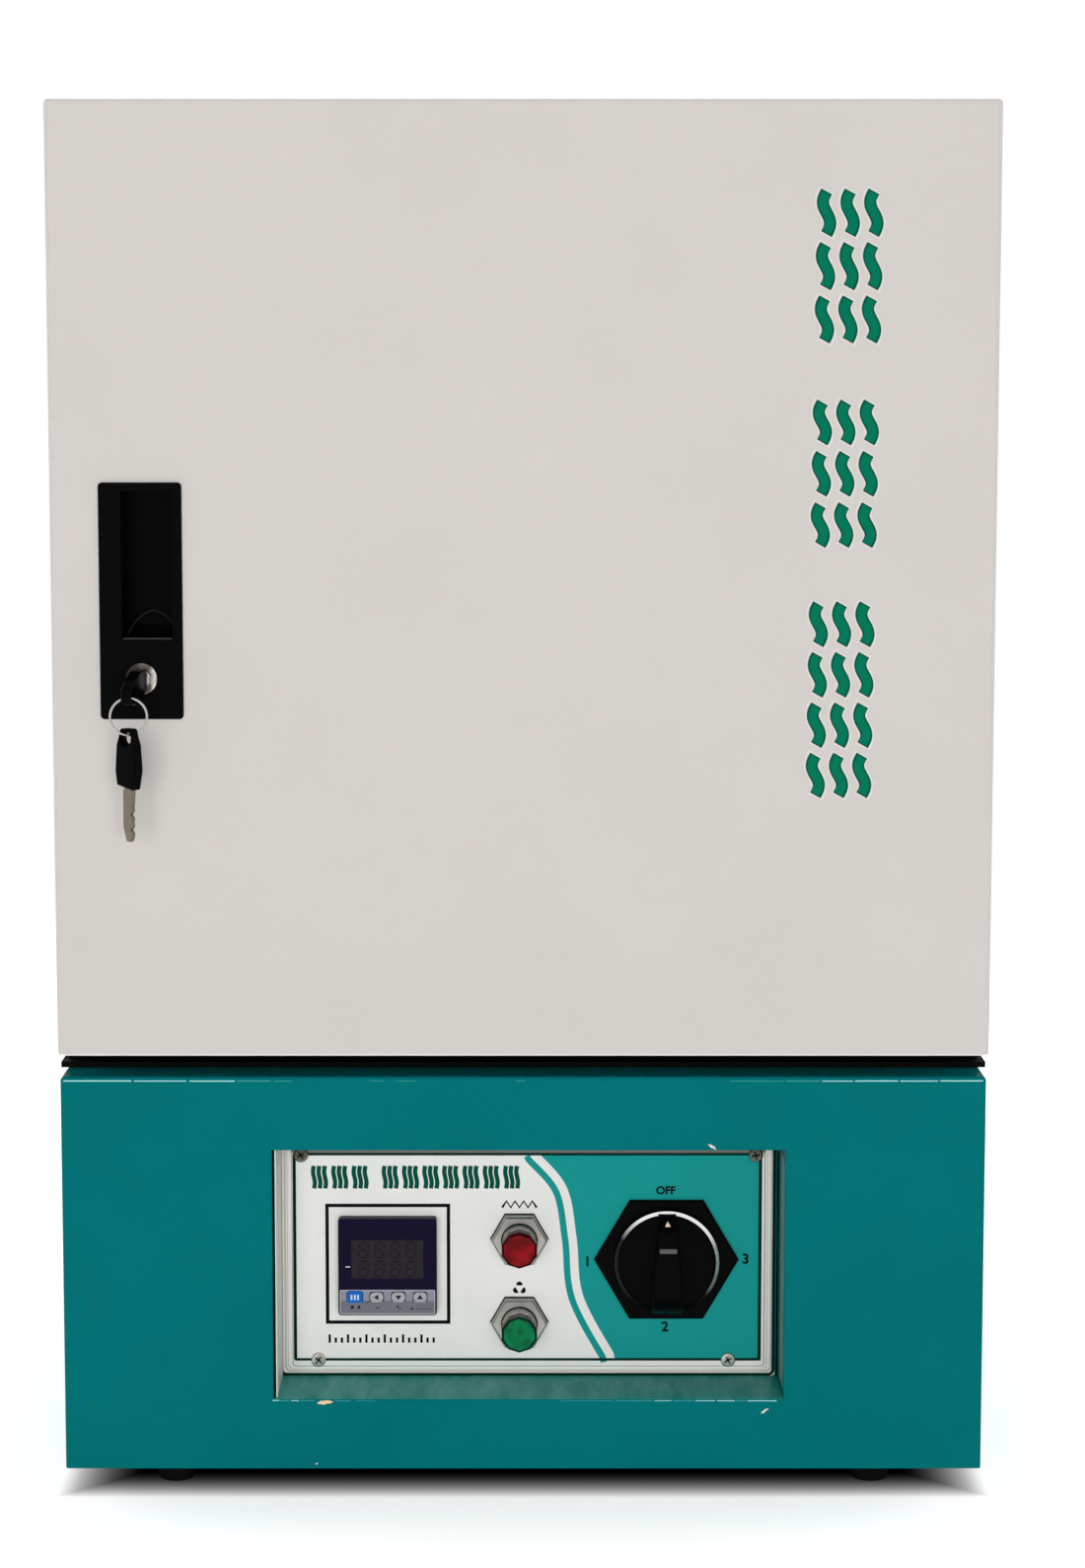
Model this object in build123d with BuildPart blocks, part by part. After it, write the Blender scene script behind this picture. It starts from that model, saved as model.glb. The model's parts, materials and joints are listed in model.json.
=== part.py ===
from build123d import *
import os
from math import cos, radians, sin

os.makedirs("parts", exist_ok=True)

# Bench-top hot air oven. An insulated cabinet with a full-front, side-hinged door stands on a
# control base with four rubber feet.
# Frame: millimetres, +X to the viewer's right, -Y to the front, +Z up. The origin is on the
# table, under the middle of the oven's overall box.

# ---------------------------------------------------------------- sheet, gaps and fits
sheet = 1.2                 # painted steel of the cabinet, door and base
steel_sheet = 1.0           # stainless steel of the chamber and the door's inner pan
bend_radius = 2.0           # outside radius of a bent sheet edge
fit_gap = 0.4               # between a panel and the shell that it drops into
running_gap = 0.3           # between faces that move past each other
shaft_clearance = 0.05      # radial, between a shaft or a pin and its bore
screw_clearance = 0.1       # radial, between a screw shank and its hole

# ---------------------------------------------------------------- chamber and cabinet
chamber_width = 300.0
chamber_depth = 300.0
chamber_height = 300.0
side_insulation = 70.0      # chamber side to the outside of the cabinet
roof_insulation = 76.0
floor_insulation = 76.0
rear_insulation = 74.0
chamber_flange = 12.0       # width of the chamber's front flange
plinth_height = 3.0         # rubber strip between the base and the cabinet
plinth_width = 24.0
plinth_inset = 3.0          # from the cabinet's outside to the strip
panel_screw_inset = 10.5    # from a rear panel's edges to a screw
panel_screw_rows = 4

# ---------------------------------------------------------------- base
base_height = 191.0
foot_height = 15.0
foot_top_radius = 11.0
foot_bottom_radius = 8.5
foot_round = 1.0
foot_side_inset = 50.0      # from the base's side to a foot's axis
foot_end_inset = 35.0       # from the base's front or rear to a foot's axis
recess_width = 244.4
recess_height = 121.4
recess_bottom = 34.1        # above the base's lower edge
recess_shift = 2.5          # the recess stands a little right of the middle
recess_depth = 42.0
recess_lip_radius = 1.0
vent_slot_length = 40.0
vent_slot_width = 5.0
vent_slot_pitch = 14.0
vent_slot_count = 8
vent_column_pitch = 80.0    # between the columns of slots in the bottom plate
rear_vent_length = 80.0
rear_vent_shift = 73.0      # the rear panel's slots stand this far left of the middle

# ---------------------------------------------------------------- control panel
plate_depth = 40.0          # front face of the control plate, behind the base's front
plate_side_gap = 0.8
plate_top_gap = 0.4
plate_corner = 2.5
label_thickness = 1.0
label_side_margin = 6.6
label_margin_top = 7.0
label_margin_bottom = 5.0
screw_head_radius = 3.5
screw_head_height = 2.0
screw_shank_radius = 1.9
screw_slot_width = 0.9
screw_slot_length = 3.8
screw_head_round = 0.7
screw_slot_depth = 1.0
top_screw_inset = 4.8       # from the label's side edge
low_left_screw_inset = 12.7
low_right_screw_inset = 17.7
screw_edge_inset = 3.6      # from the label's upper or lower edge

bezel_size = 48.0           # 1/16 DIN temperature controller
bezel_proud = 7.0
bezel_corner = 1.5
controller_body = 44.8
controller_length = 72.0
controller_offset_x = -68.7  # from the middle of the recess
controller_offset_z = -4.3
window_width = 35.0
window_height = 19.0
window_rise = 4.0           # above the middle of the bezel
window_thickness = 1.0
key_drop = 14.7             # below the middle of the bezel
key_pitch = 10.6
key_width = 6.6
key_height = 4.9
first_key_width = 7.6
first_key_height = 5.8
key_corner = 2.2
first_key_corner = 0.9
key_proud = 0.8
key_depth = 3.0             # length of a key's stem inside the bezel
key_travel = 0.6
key_names = ("set_key", "shift_key", "down_key", "up_key")

lamp_offset_x = -4.4        # from the middle of the recess
upper_lamp_offset_z = 8.4
lower_lamp_offset_z = -33.1
lamp_nut_flats = 23.8
lamp_nut_thickness = 6.0
lamp_nut_chamfer = 0.8
lamp_neck_radius = 8.9
lamp_lens_radius = 8.65
lamp_reach = 25.0           # lens front, from the label
lamp_lens_round = 2.2
lamp_stem_radius = 6.5
lamp_stem_length = 4.0
lamp_body_radius = 11.0
lamp_body_length = 27.0
lamp_tab_length = 7.0
lamp_tab_width = 3.0
lamp_tab_thickness = 0.8

switch_offset_x = 67.4      # from the middle of the recess
switch_offset_z = -1.7
switch_plate_width = 70.5   # corner to corner
switch_plate_edge = 36.0    # length of the upper and lower edges
switch_plate_height = 59.0
switch_plate_thickness = 3.0
switch_plate_chamfer = 0.8
switch_body_size = 52.0
switch_body_length = 46.0
switch_body_corner = 6.5
switch_layers = 3           # contact decks, each with a terminal at the top and bottom
switch_tab_width = 24.0
switch_tab_height = 6.0
switch_tab_thickness = 1.2
switch_shaft_radius = 3.0
switch_shaft_depth = 12.0   # how far the shaft runs into the switch body
knob_radius = 25.5
knob_skirt_height = 4.5
knob_skirt_chamfer = 1.5
knob_crown_radius = 20.5
knob_crown_height = 3.0
knob_crown_chamfer = 1.2
knob_reach = 22.0           # whole height of the knob
knob_bar_length = 44.0
knob_bar_top_width = 8.6
knob_bar_bottom_width = 15.0
knob_bar_round = 1.6

# ---------------------------------------------------------------- inside and behind the base
inlet_from_side = 70.0      # from the base's side to the mains inlet
inlet_from_bottom = 48.0    # above the base's lower edge
inlet_flange_width = 50.0
inlet_flange_height = 26.0
inlet_flange_thickness = 2.5
inlet_body_width = 27.0
inlet_body_height = 20.0
inlet_length = 24.0
socket_width = 24.2
socket_height = 16.4
socket_depth = 17.0
socket_chamfer = 4.5
pin_width = 2.0
pin_height = 4.0
pin_pitch = 7.0             # from the middle pin to a side pin
pin_stagger = 2.0           # the middle pin stands this much above the others
pin_short = 2.0             # pins end this far inside the socket's mouth
pin_tail = 8.0              # solder tag behind the inlet's body
block_length = 82.0         # terminal block
block_width = 26.0
block_height = 22.0
block_poles = 6
block_screw_radius = 2.4
block_screw_height = 2.0
block_row_pitch = 19.5
block_from_rear = 90.0      # from the base's rear to the terminal block's middle
wiring_shift = 73.0         # terminal block and relay stand this far right and left
relay_length = 58.0
relay_width = 45.0
relay_height = 28.0
relay_corner = 3.0
relay_post_radius = 4.0
relay_post_height = 2.5
relay_post_inset_x = 7.0
relay_post_inset_y = 9.0
relay_from_rear = 120.0     # from the base's rear to the relay's middle

# ---------------------------------------------------------------- fittings in the chamber
runner_setback = 4.0        # a runner starts this far behind a shelf's front
runner_thickness = 4.0
runner_upright = 12.0       # width of an upright strip
runner_ledge = 10.0         # how far a ledge stands out from the wall
runner_levels = 5
runner_pitch = 42.0
runner_first = 66.0         # first ledge above the chamber floor
ledge_thickness = 2.0
shelf_side_gap = 3.0
shelf_rod_radius = 3.0
shelf_wire_radius = 1.3
shelf_wire_count = 17
shelf_cross_wires = 2
shelf_weld = 0.4            # how far a wire sinks into the wires that it is welded to
shelf_corner = 14.0
shelf_ledges = {"lower_shelf": 1, "upper_shelf": 3}  # ledge number, from 0 at the bottom
shelf_rear_gap = 6.0        # between a shelf and the fan guard
shelf_front_gap = 9.8       # between a shelf and the door's plug
grille_height = 32.0        # perforated false floor over the heater
grille_thickness = 1.5
grille_side_gap = 2.0
grille_hole_radius = 5.0
grille_hole_pitch = 27.0
grille_rows = 9             # rows of holes each way
heater_radius = 3.5
heater_rise = 15.0          # tube's axis above the chamber floor
heater_run_pitch = 40.0
heater_front_inset = 26.0
heater_tail = 30.0          # length of tube behind the chamber's rear wall
heater_hole_clearance = 0.6
guard_size = 170.0
guard_depth = 38.0
guard_sheet = 1.2
guard_corner = 8.0
guard_slot_width = 6.0
guard_slot_pitch = 15.0
guard_slot_count = 8
guard_slot_length = 120.0
guard_slot_inset = 8.0      # from the guard's front or rear edge to a side slot
fan_radius = 62.0
fan_width = 20.0
fan_blades = 8
fan_blade_angle = 18.0
fan_blade_tip_gap = 1.0     # from a blade's end to the hub or to the disc's rim
fan_blade_thickness = 1.6
fan_disc = 1.6
fan_hub_radius = 10.0
fan_hub_short = 4.0         # the hub ends this far behind the blades' front
fan_shaft_radius = 4.0
fan_wall_gap = 7.0          # between the fan's disc and the chamber's rear wall
fan_shaft_hole = 7.0
motor_radius = 36.0
motor_length = 42.0
motor_shaft_depth = 16.0
motor_round = 4.0
motor_bearing_radius = 12.0
motor_bearing_height = 4.0
motor_lug_radius = 6.0
motor_lug_thickness = 4.0
motor_lug_circle = 39.0
cover_size = 124.0
cover_depth = 54.0
cover_flange = 14.0
cover_slots = 6
cover_slot_pitch = 14.0
cover_slot_length = 74.0
cover_screw_pitch = 86.0
probe_radius = 2.5
probe_round = 2.0
probe_reach = 62.0          # length inside the chamber
probe_tail = 40.0
probe_nut_flats = 14.0
probe_nut_thickness = 5.0
probe_from_side = 45.0      # from the chamber's right wall
probe_from_roof = 40.0
vent_from_roof = 42.0       # vent axis below the chamber's roof
vent_tube_radius = 13.0
vent_tube_wall = 1.0
vent_flange_radius = 26.0
vent_flange_thickness = 2.0
vent_hole_radius = 4.0
vent_hole_circle = 7.0
vent_holes = 4
vent_pivot_radius = 1.6
vent_pivot_head_radius = 3.0
vent_pivot_head = 1.0
shutter_radius = 24.0
shutter_thickness = 1.5
shutter_lug_radius = 3.0
shutter_lug_circle = 18.0
shutter_lug_height = 4.2

# ---------------------------------------------------------------- door, seal and hinges
door_thickness = 34.0
door_side_overlap = 1.0     # the door stands this much past the cabinet's sides
door_top_overlap = 2.0
door_floor_gap = 7.0        # cabinet's lower edge to the door's lower edge
door_lip = 14.0             # flange round the back of the outer pan
inner_pan_inset = 1.0
plug_gap = 5.0              # between the chamber's mouth and the raised panel of the door
plug_height = 12.0
mouth_seal_gap = 6.0        # from the chamber's mouth to the seal's inner edge
hinge_barrel_radius = 4.0
hinge_pin_radius = 2.0
hinge_axis_out = 2.0        # from the cabinet's side to the hinge axis
hinge_knuckle = 20.0
hinge_knuckle_gap = 0.4
hinge_leaf = 26.0
hinge_leaf_thickness = 1.5
hinge_from_end = 70.0       # from the door's top or bottom edge to a hinge's middle
hinge_pin_head_radius = 3.0
hinge_pin_head = 1.6
hinge_notch_gap = 2.0

# ---------------------------------------------------------------- pull handle and lock
handle_width = 38.9
handle_height = 110.6
handle_proud = 1.6
handle_corner = 2.0
handle_from_side = 42.35    # from the door's left edge to the plate's middle
handle_above_bottom = 215.9  # from the door's lower edge to the plate's middle
cup_width = 23.8
cup_height = 69.0
cup_shift_x = 2.9           # cup's middle, right of the plate's middle
cup_shift_z = 16.6          # cup's middle, above the plate's middle
cup_depth = 24.0
cup_wall = 1.6
cup_scoop = 15.0            # radius of the cup's curved lower end
lock_drop = 36.2            # lock axis below the plate's middle
lock_rim_radius = 7.5
lock_rim = 1.6
lock_body_radius = 6.0
lock_body_past_door = 6.0
lock_nut_radius = 9.0
lock_nut_thickness = 3.0
plug_radius = 4.2
cam_gap = 2.6               # from the cabinet's front sheet to the cam
cam_thickness = 2.5
cam_width = 8.0
cam_length = 22.0           # from the lock axis to the cam's end
cam_boss_radius = 5.0
cam_screw_radius = 3.0
cam_screw_head = 1.6
latch_slot_width = 16.0
latch_slot_side_gap = 3.0
pocket_sheet = 1.0
pocket_gap = 4.0
pocket_depth = 16.0

# ---------------------------------------------------------------- keys and ring
blade_length = 24.0
blade_width = 6.4
blade_tip_width = 4.4
blade_thickness = 1.9
blade_tang = 7.0            # length moulded into the bow
blade_tang_width = 5.0
blade_slot_gap = 0.1
blade_tooth = 0.9
blade_teeth = 5
blade_tip_chamfer = 1.0
blade_first_tooth = 2.0     # from the blade's tip
bow_stand_off = 2.5         # between the lock's face and the bow
bow_length = 28.5
bow_width = 13.6
bow_end_width = 8.8
bow_tip_width = 6.4
bow_waist_width = 11.7
bow_neck_width = 9.6
bow_shoulder = 2.2          # from the blade end of the bow to its shoulder
bow_full_at = 9.0           # from the blade end to where the bow is widest
bow_waist_at = 21.0
bow_taper_at = 24.5
bow_corner = 1.0
bow_thickness = 5.2
bow_round = 0.8
bow_hole_at = 24.0          # from the blade end of the bow
bow_hole_radius = 2.6
bow_web_radius = 4.0
bow_web = 1.6
key_droop = 13.0            # degrees that the bow hangs down
key_yaw = 8.0               # degrees that the bow turns to the left
ring_radius = 8.5
ring_wire_radius = 0.55
ring_turn = 10.0            # degrees that the ring's plane is turned about Z
ring_gap = 0.6              # between the ring's wire and the edge of a hole
spare_turn = 40.0           # degrees that the spare key is turned about Z

# ================================================================ places that follow
half_chamber = chamber_width / 2
half_body = half_chamber + side_insulation
seal_gap = 2 * (hinge_barrel_radius + running_gap)
cabinet_front = door_thickness + seal_gap
chamber_front = cabinet_front + sheet
chamber_rear = chamber_front + chamber_depth
body_depth = chamber_rear + steel_sheet + rear_insulation + sheet

lock_face = handle_proud + lock_rim
bow_reach = bow_length * cos(radians(key_droop)) * cos(radians(key_yaw))
front_reach = lock_face + bow_stand_off + bow_reach + bow_thickness / 2 * sin(radians(key_yaw))
rear_reach = cover_depth
front_y = (front_reach - body_depth - rear_reach) / 2
rear_y = front_y + body_depth

base_z = (foot_height, foot_height + base_height)
cabinet_z0 = base_z[1] + plinth_height
floor_z = cabinet_z0 + floor_insulation
roof_z = floor_z + chamber_height
cabinet_z = (cabinet_z0, roof_z + roof_insulation)
door_z = (cabinet_z[0] + door_floor_gap, cabinet_z[1] + door_top_overlap)
half_door = half_body + door_side_overlap
body_x = (-half_body, half_body)
chamber_x = (-half_chamber, half_chamber)
chamber_z = (floor_z, roof_z)
chamber_mid_z = (floor_z + roof_z) / 2

recess_z = (base_z[0] + recess_bottom, base_z[0] + recess_bottom + recess_height)
recess_mid_z = (recess_z[0] + recess_z[1]) / 2
plate_y = (front_y + plate_depth, front_y + plate_depth + sheet)
label_y = (plate_y[0] - label_thickness, plate_y[0])
label_width = recess_width - 2 * label_side_margin
label_height = recess_height - label_margin_top - label_margin_bottom
label_mid_z = recess_z[0] + label_margin_bottom + label_height / 2
controller_x = recess_shift + controller_offset_x
controller_z = recess_mid_z + controller_offset_z
lamp_x = recess_shift + lamp_offset_x
lamp_heights = (recess_mid_z + upper_lamp_offset_z, recess_mid_z + lower_lamp_offset_z)
switch_x = recess_shift + switch_offset_x
switch_z = recess_mid_z + switch_offset_z

half_label = label_width / 2
screw_top = label_mid_z + label_height / 2 - screw_edge_inset
screw_bottom = label_mid_z - label_height / 2 + screw_edge_inset
label_screw_places = (
    (recess_shift - half_label + top_screw_inset, screw_top),
    (recess_shift + half_label - top_screw_inset, screw_top),
    (recess_shift - half_label + low_left_screw_inset, screw_bottom),
    (recess_shift + half_label - low_right_screw_inset, screw_bottom),
)

handle_x = -half_door + handle_from_side
handle_z = door_z[0] + handle_above_bottom
cup_x = handle_x + cup_shift_x
cup_z = handle_z + cup_shift_z
lock_x = handle_x
lock_z = handle_z - lock_drop
door_back = front_y + door_thickness
cabinet_y0 = front_y + cabinet_front
cam_y = (cabinet_y0 + sheet + cam_gap, cabinet_y0 + sheet + cam_gap + cam_thickness)

hinge_x = half_body + hinge_axis_out
hinge_y = door_back + seal_gap / 2
hinge_heights = (door_z[0] + hinge_from_end, door_z[1] - hinge_from_end)
hinge_height = 3 * hinge_knuckle + 2 * hinge_knuckle_gap

vent_y = front_y + chamber_front + chamber_depth / 2
vent_z = roof_z - vent_from_roof
fan_y = front_y + chamber_rear
guard_y = (fan_y - guard_depth, fan_y)
shelf_rear_y = guard_y[0] - shelf_rear_gap
shelf_front_y = door_back + plug_height + shelf_front_gap
probe_x = half_chamber - probe_from_side
probe_z = roof_z - probe_from_roof
inlet_x = half_body - inlet_from_side
inlet_z = base_z[0] + inlet_from_bottom
ledge_heights = [floor_z + runner_first + level * runner_pitch for level in range(runner_levels)]


# ================================================================ helpers
on_top = (Align.CENTER, Align.CENTER, Align.MIN)


def middle(span):
    return (span[0] + span[1]) / 2


def facing(y):
    """Plane at depth y: its local x is X, its local y is Z, and it faces the front."""
    return Plane.XZ.offset(-y)


def block(x, y, z, mode=Mode.ADD):
    """Box between two x, two y and two z values."""
    with Locations((middle(x), middle(y), middle(z))):
        Box(x[1] - x[0], y[1] - y[0], z[1] - z[0], mode=mode)


def rod_x(y, z, radius, x, mode=Mode.ADD):
    with Locations(Location((middle(x), y, z), (0, 90, 0))):
        Cylinder(radius, x[1] - x[0], mode=mode)


def rod_y(x, z, radius, y, mode=Mode.ADD):
    with Locations(Location((x, middle(y), z), (90, 0, 0))):
        Cylinder(radius, y[1] - y[0], mode=mode)


def rod_z(x, y, radius, z, mode=Mode.ADD):
    with Locations((x, y, middle(z))):
        Cylinder(radius, z[1] - z[0], mode=mode)


def grow(span, amount):
    return (span[0] - amount, span[1] + amount)


# ================================================================ base
with BuildPart() as base_shell:
    block(body_x, (front_y, rear_y), base_z)
    front_edges = base_shell.edges().filter_by(Axis.Z).group_by(Axis.Y)[0]
    top_edges = base_shell.faces().sort_by(Axis.Z)[-1].edges().group_by(Axis.Y)[:-1]
    fillet(front_edges + top_edges[0] + top_edges[1], bend_radius)
    block(grow(body_x, -sheet), (front_y + sheet, rear_y), (base_z[0], base_z[1] - sheet), Mode.SUBTRACT)
    with BuildSketch(facing(front_y + sheet)):
        with Locations((recess_shift, recess_mid_z)):
            Rectangle(recess_width + 2 * sheet, recess_height + 2 * sheet)
    extrude(amount=-(recess_depth - sheet))
    with BuildSketch(facing(front_y)):
        with Locations((recess_shift, recess_mid_z)):
            Rectangle(recess_width, recess_height)
    extrude(amount=-recess_depth, mode=Mode.SUBTRACT)
    recess_lip = base_shell.faces().filter_by(Axis.Y).sort_by(Axis.Y)[0].inner_wires()[0].edges()
    fillet(recess_lip, recess_lip_radius)
base_shell.part.label = "base_shell"
export_step(base_shell.part, "parts/base_shell.step")

inside_x = grow(body_x, -sheet - fit_gap)
with BuildPart() as base_bottom_plate:
    block(inside_x, (front_y + sheet + fit_gap, rear_y - sheet - fit_gap), (base_z[0], base_z[0] + sheet))
    with BuildSketch(Plane.XY.offset(base_z[0])):
        with Locations((0, front_y + body_depth / 2)):
            with GridLocations(vent_column_pitch, vent_slot_pitch, 3, vent_slot_count):
                SlotOverall(vent_slot_length, vent_slot_width)
    extrude(amount=sheet, mode=Mode.SUBTRACT)
base_bottom_plate.part.label = "base_bottom_plate"
export_step(base_bottom_plate.part, "parts/base_bottom_plate.step")

rear_screw_places = [
    (side * (half_body - panel_screw_inset), height)
    for side in (-1, 1)
    for height in grow(base_z, -panel_screw_inset)
]
with BuildPart() as base_rear_panel:
    block(inside_x, (rear_y - sheet, rear_y), (base_z[0], base_z[1] - sheet - fit_gap))
    with BuildSketch(facing(rear_y - sheet)):
        with Locations((inlet_x, inlet_z)):
            Rectangle(inlet_body_width + 2 * fit_gap, inlet_body_height + 2 * fit_gap)
        with Locations((-rear_vent_shift, middle(base_z))):
            with GridLocations(0, vent_slot_pitch, 1, vent_slot_count):
                SlotOverall(rear_vent_length, vent_slot_width)
        with Locations(*rear_screw_places):
            Circle(screw_shank_radius + screw_clearance)
    extrude(amount=-sheet, mode=Mode.SUBTRACT)
base_rear_panel.part.label = "base_rear_panel"
export_step(base_rear_panel.part, "parts/base_rear_panel.step")

foot_pitch_x = 2 * (half_body - foot_side_inset)
foot_pitch_y = body_depth - 2 * foot_end_inset
with BuildPart() as rubber_feet:
    with Locations((0, front_y + body_depth / 2, 0)):
        with GridLocations(foot_pitch_x, foot_pitch_y, 2, 2):
            Cone(foot_bottom_radius, foot_top_radius, foot_height, align=on_top)
    fillet(rubber_feet.edges().group_by(Axis.Z)[0], foot_round)
rubber_feet.part.label = "rubber_feet"
export_step(rubber_feet.part, "parts/rubber_feet.step")

# ================================================================ control plate and label
with BuildPart() as control_plate:
    plate_x = grow((recess_shift - recess_width / 2, recess_shift + recess_width / 2), -plate_side_gap)
    block(plate_x, plate_y, (recess_z[0], recess_z[1] - plate_top_gap))
    fillet(control_plate.edges().filter_by(Axis.Y), plate_corner)
    with BuildSketch(facing(plate_y[0])):
        with Locations((controller_x, controller_z)):
            Rectangle(controller_body + 2 * fit_gap, controller_body + 2 * fit_gap)
        with Locations(*[(lamp_x, height) for height in lamp_heights]):
            Circle(lamp_neck_radius + screw_clearance)
        with Locations((switch_x, switch_z)):
            Circle(switch_shaft_radius + fit_gap)
        with Locations(*label_screw_places):
            Circle(screw_shank_radius + screw_clearance)
    extrude(amount=-sheet, mode=Mode.SUBTRACT)
control_plate.part.label = "control_plate"
export_step(control_plate.part, "parts/control_plate.step")

with BuildPart() as control_label:
    with BuildSketch(facing(label_y[0])):
        with Locations((recess_shift, label_mid_z)):
            RectangleRounded(label_width, label_height, plate_corner)
        with Locations((controller_x, controller_z)):
            Rectangle(controller_body + 2 * fit_gap, controller_body + 2 * fit_gap, mode=Mode.SUBTRACT)
        with Locations(*[(lamp_x, height) for height in lamp_heights]):
            Circle(lamp_neck_radius + screw_clearance, mode=Mode.SUBTRACT)
        with Locations((switch_x, switch_z)):
            Circle(switch_shaft_radius + fit_gap, mode=Mode.SUBTRACT)
        with Locations(*label_screw_places):
            Circle(screw_shank_radius + screw_clearance, mode=Mode.SUBTRACT)
    extrude(amount=-label_thickness)
control_label.part.label = "control_label"
export_step(control_label.part, "parts/control_label.step")


def pan_screws(seats, towards):
    """Cross-head screws. Each seat is x, z, the y that the head rests on and the sheet's thickness
    under it; towards is -1 for heads at the front and 1 for heads at the rear."""
    with BuildPart() as screws:
        for x, z, seat_y, shank in seats:
            tip_y = seat_y + towards * screw_head_height
            rod_y(x, z, screw_head_radius, sorted((seat_y, tip_y)))
            head_edges = screws.edges(Select.LAST).filter_by(GeomType.CIRCLE).sort_by(Axis.Y)
            fillet(head_edges[0 if towards < 0 else -1], screw_head_round)
            rod_y(x, z, screw_shank_radius, sorted((seat_y, seat_y - towards * shank)))
            slot_y = sorted((tip_y, tip_y - towards * screw_slot_depth))
            narrow = screw_slot_width / 2
            wide = screw_slot_length / 2
            block(grow((x, x), wide), slot_y, grow((z, z), narrow), Mode.SUBTRACT)
            block(grow((x, x), narrow), slot_y, grow((z, z), wide), Mode.SUBTRACT)
    return screws


label_screw_seats = [(x, z, label_y[0], label_thickness + sheet) for x, z in label_screw_places]
label_screws = pan_screws(label_screw_seats, -1)
label_screws.part.label = "label_screws"
export_step(label_screws.part, "parts/label_screws.step")

# ================================================================ temperature controller
bezel_front = label_y[0] - bezel_proud
key_count = len(key_names)
key_xs = [controller_x + (place - (key_count - 1) / 2) * key_pitch for place in range(key_count)]
key_z = controller_z - key_drop
first_key = (first_key_width, first_key_height, first_key_corner)
key_sizes = [first_key] + [(key_width, key_height, key_corner)] * (key_count - 1)
window_z = controller_z + window_rise
with BuildPart() as controller_case:
    with BuildSketch(facing(label_y[0])):
        with Locations((controller_x, controller_z)):
            RectangleRounded(bezel_size, bezel_size, bezel_corner)
    extrude(amount=bezel_proud)
    fillet(controller_case.faces().sort_by(Axis.Y)[0].edges(), bezel_corner / 2)
    with BuildSketch(facing(label_y[0])):
        with Locations((controller_x, controller_z)):
            Rectangle(controller_body, controller_body)
    extrude(amount=-controller_length)
    with BuildSketch(facing(bezel_front)):
        with Locations((controller_x, window_z)):
            Rectangle(window_width, window_height)
    extrude(amount=-window_thickness, mode=Mode.SUBTRACT)
    with BuildSketch(facing(bezel_front)):
        for x, (width, height, corner) in zip(key_xs, key_sizes):
            with Locations((x, key_z)):
                Rectangle(width + 2 * running_gap, height + 2 * running_gap)
    extrude(amount=-(key_depth + key_travel + running_gap), mode=Mode.SUBTRACT)
controller_case.part.label = "controller_case"
export_step(controller_case.part, "parts/controller_case.step")

with BuildPart() as controller_window:
    with BuildSketch(facing(bezel_front)):
        with Locations((controller_x, window_z)):
            Rectangle(window_width, window_height)
    extrude(amount=-window_thickness)
controller_window.part.label = "controller_window"
export_step(controller_window.part, "parts/controller_window.step")

for name, x, (width, height, corner) in zip(key_names, key_xs, key_sizes):
    with BuildPart() as controller_key:
        with BuildSketch(facing(bezel_front - key_proud)):
            with Locations((x, key_z)):
                RectangleRounded(width, height, corner)
        extrude(amount=-(key_proud + key_depth))
        fillet(controller_key.faces().sort_by(Axis.Y)[0].edges(), key_proud / 2)
    controller_key.part.label = name
    export_step(controller_key.part, f"parts/{name}.step")

# ================================================================ indicator lamps
nut_front = label_y[0] - lamp_nut_thickness
lens_back = nut_front + running_gap
lens_front = label_y[0] - lamp_reach
body_start = plate_y[1]
with BuildPart() as lamp_nuts:
    with BuildSketch(facing(label_y[0])):
        with Locations(*[(lamp_x, height) for height in lamp_heights]):
            RegularPolygon(lamp_nut_flats / 2, 6, major_radius=False)
            Circle(lamp_neck_radius + screw_clearance, mode=Mode.SUBTRACT)
    extrude(amount=lamp_nut_thickness)
    nut_rims = lamp_nuts.faces().filter_by(Axis.Y).group_by(Axis.Y)[0].edges().filter_by(GeomType.LINE)
    chamfer(nut_rims, lamp_nut_chamfer)
lamp_nuts.part.label = "lamp_nuts"
export_step(lamp_nuts.part, "parts/lamp_nuts.step")

with BuildPart() as lamp_bodies:
    for height in lamp_heights:
        rod_y(lamp_x, height, lamp_neck_radius, (lens_back, body_start))
        rod_y(lamp_x, height, lamp_body_radius, (body_start, body_start + lamp_body_length))
        rod_y(lamp_x, height, lamp_stem_radius, (lens_back, lens_back + lamp_stem_length), Mode.SUBTRACT)
        for side in (-1, 1):
            tab_x = lamp_x + side * lamp_body_radius / 2
            tab_y = (body_start + lamp_body_length, body_start + lamp_body_length + lamp_tab_length)
            tab_z = grow((height, height), lamp_tab_thickness / 2)
            block(grow((tab_x, tab_x), lamp_tab_width / 2), tab_y, tab_z)
lamp_bodies.part.label = "lamp_bodies"
export_step(lamp_bodies.part, "parts/lamp_bodies.step")

for name, height in zip(("red_lamp_lens", "green_lamp_lens"), lamp_heights):
    with BuildPart() as lamp_lens:
        rod_y(lamp_x, height, lamp_lens_radius, (lens_front, lens_back))
        fillet(lamp_lens.edges().group_by(Axis.Y)[0], lamp_lens_round)
        rod_y(lamp_x, height, lamp_stem_radius, (lens_back, lens_back + lamp_stem_length))
    lamp_lens.part.label = name
    export_step(lamp_lens.part, f"parts/{name}.step")

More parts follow.
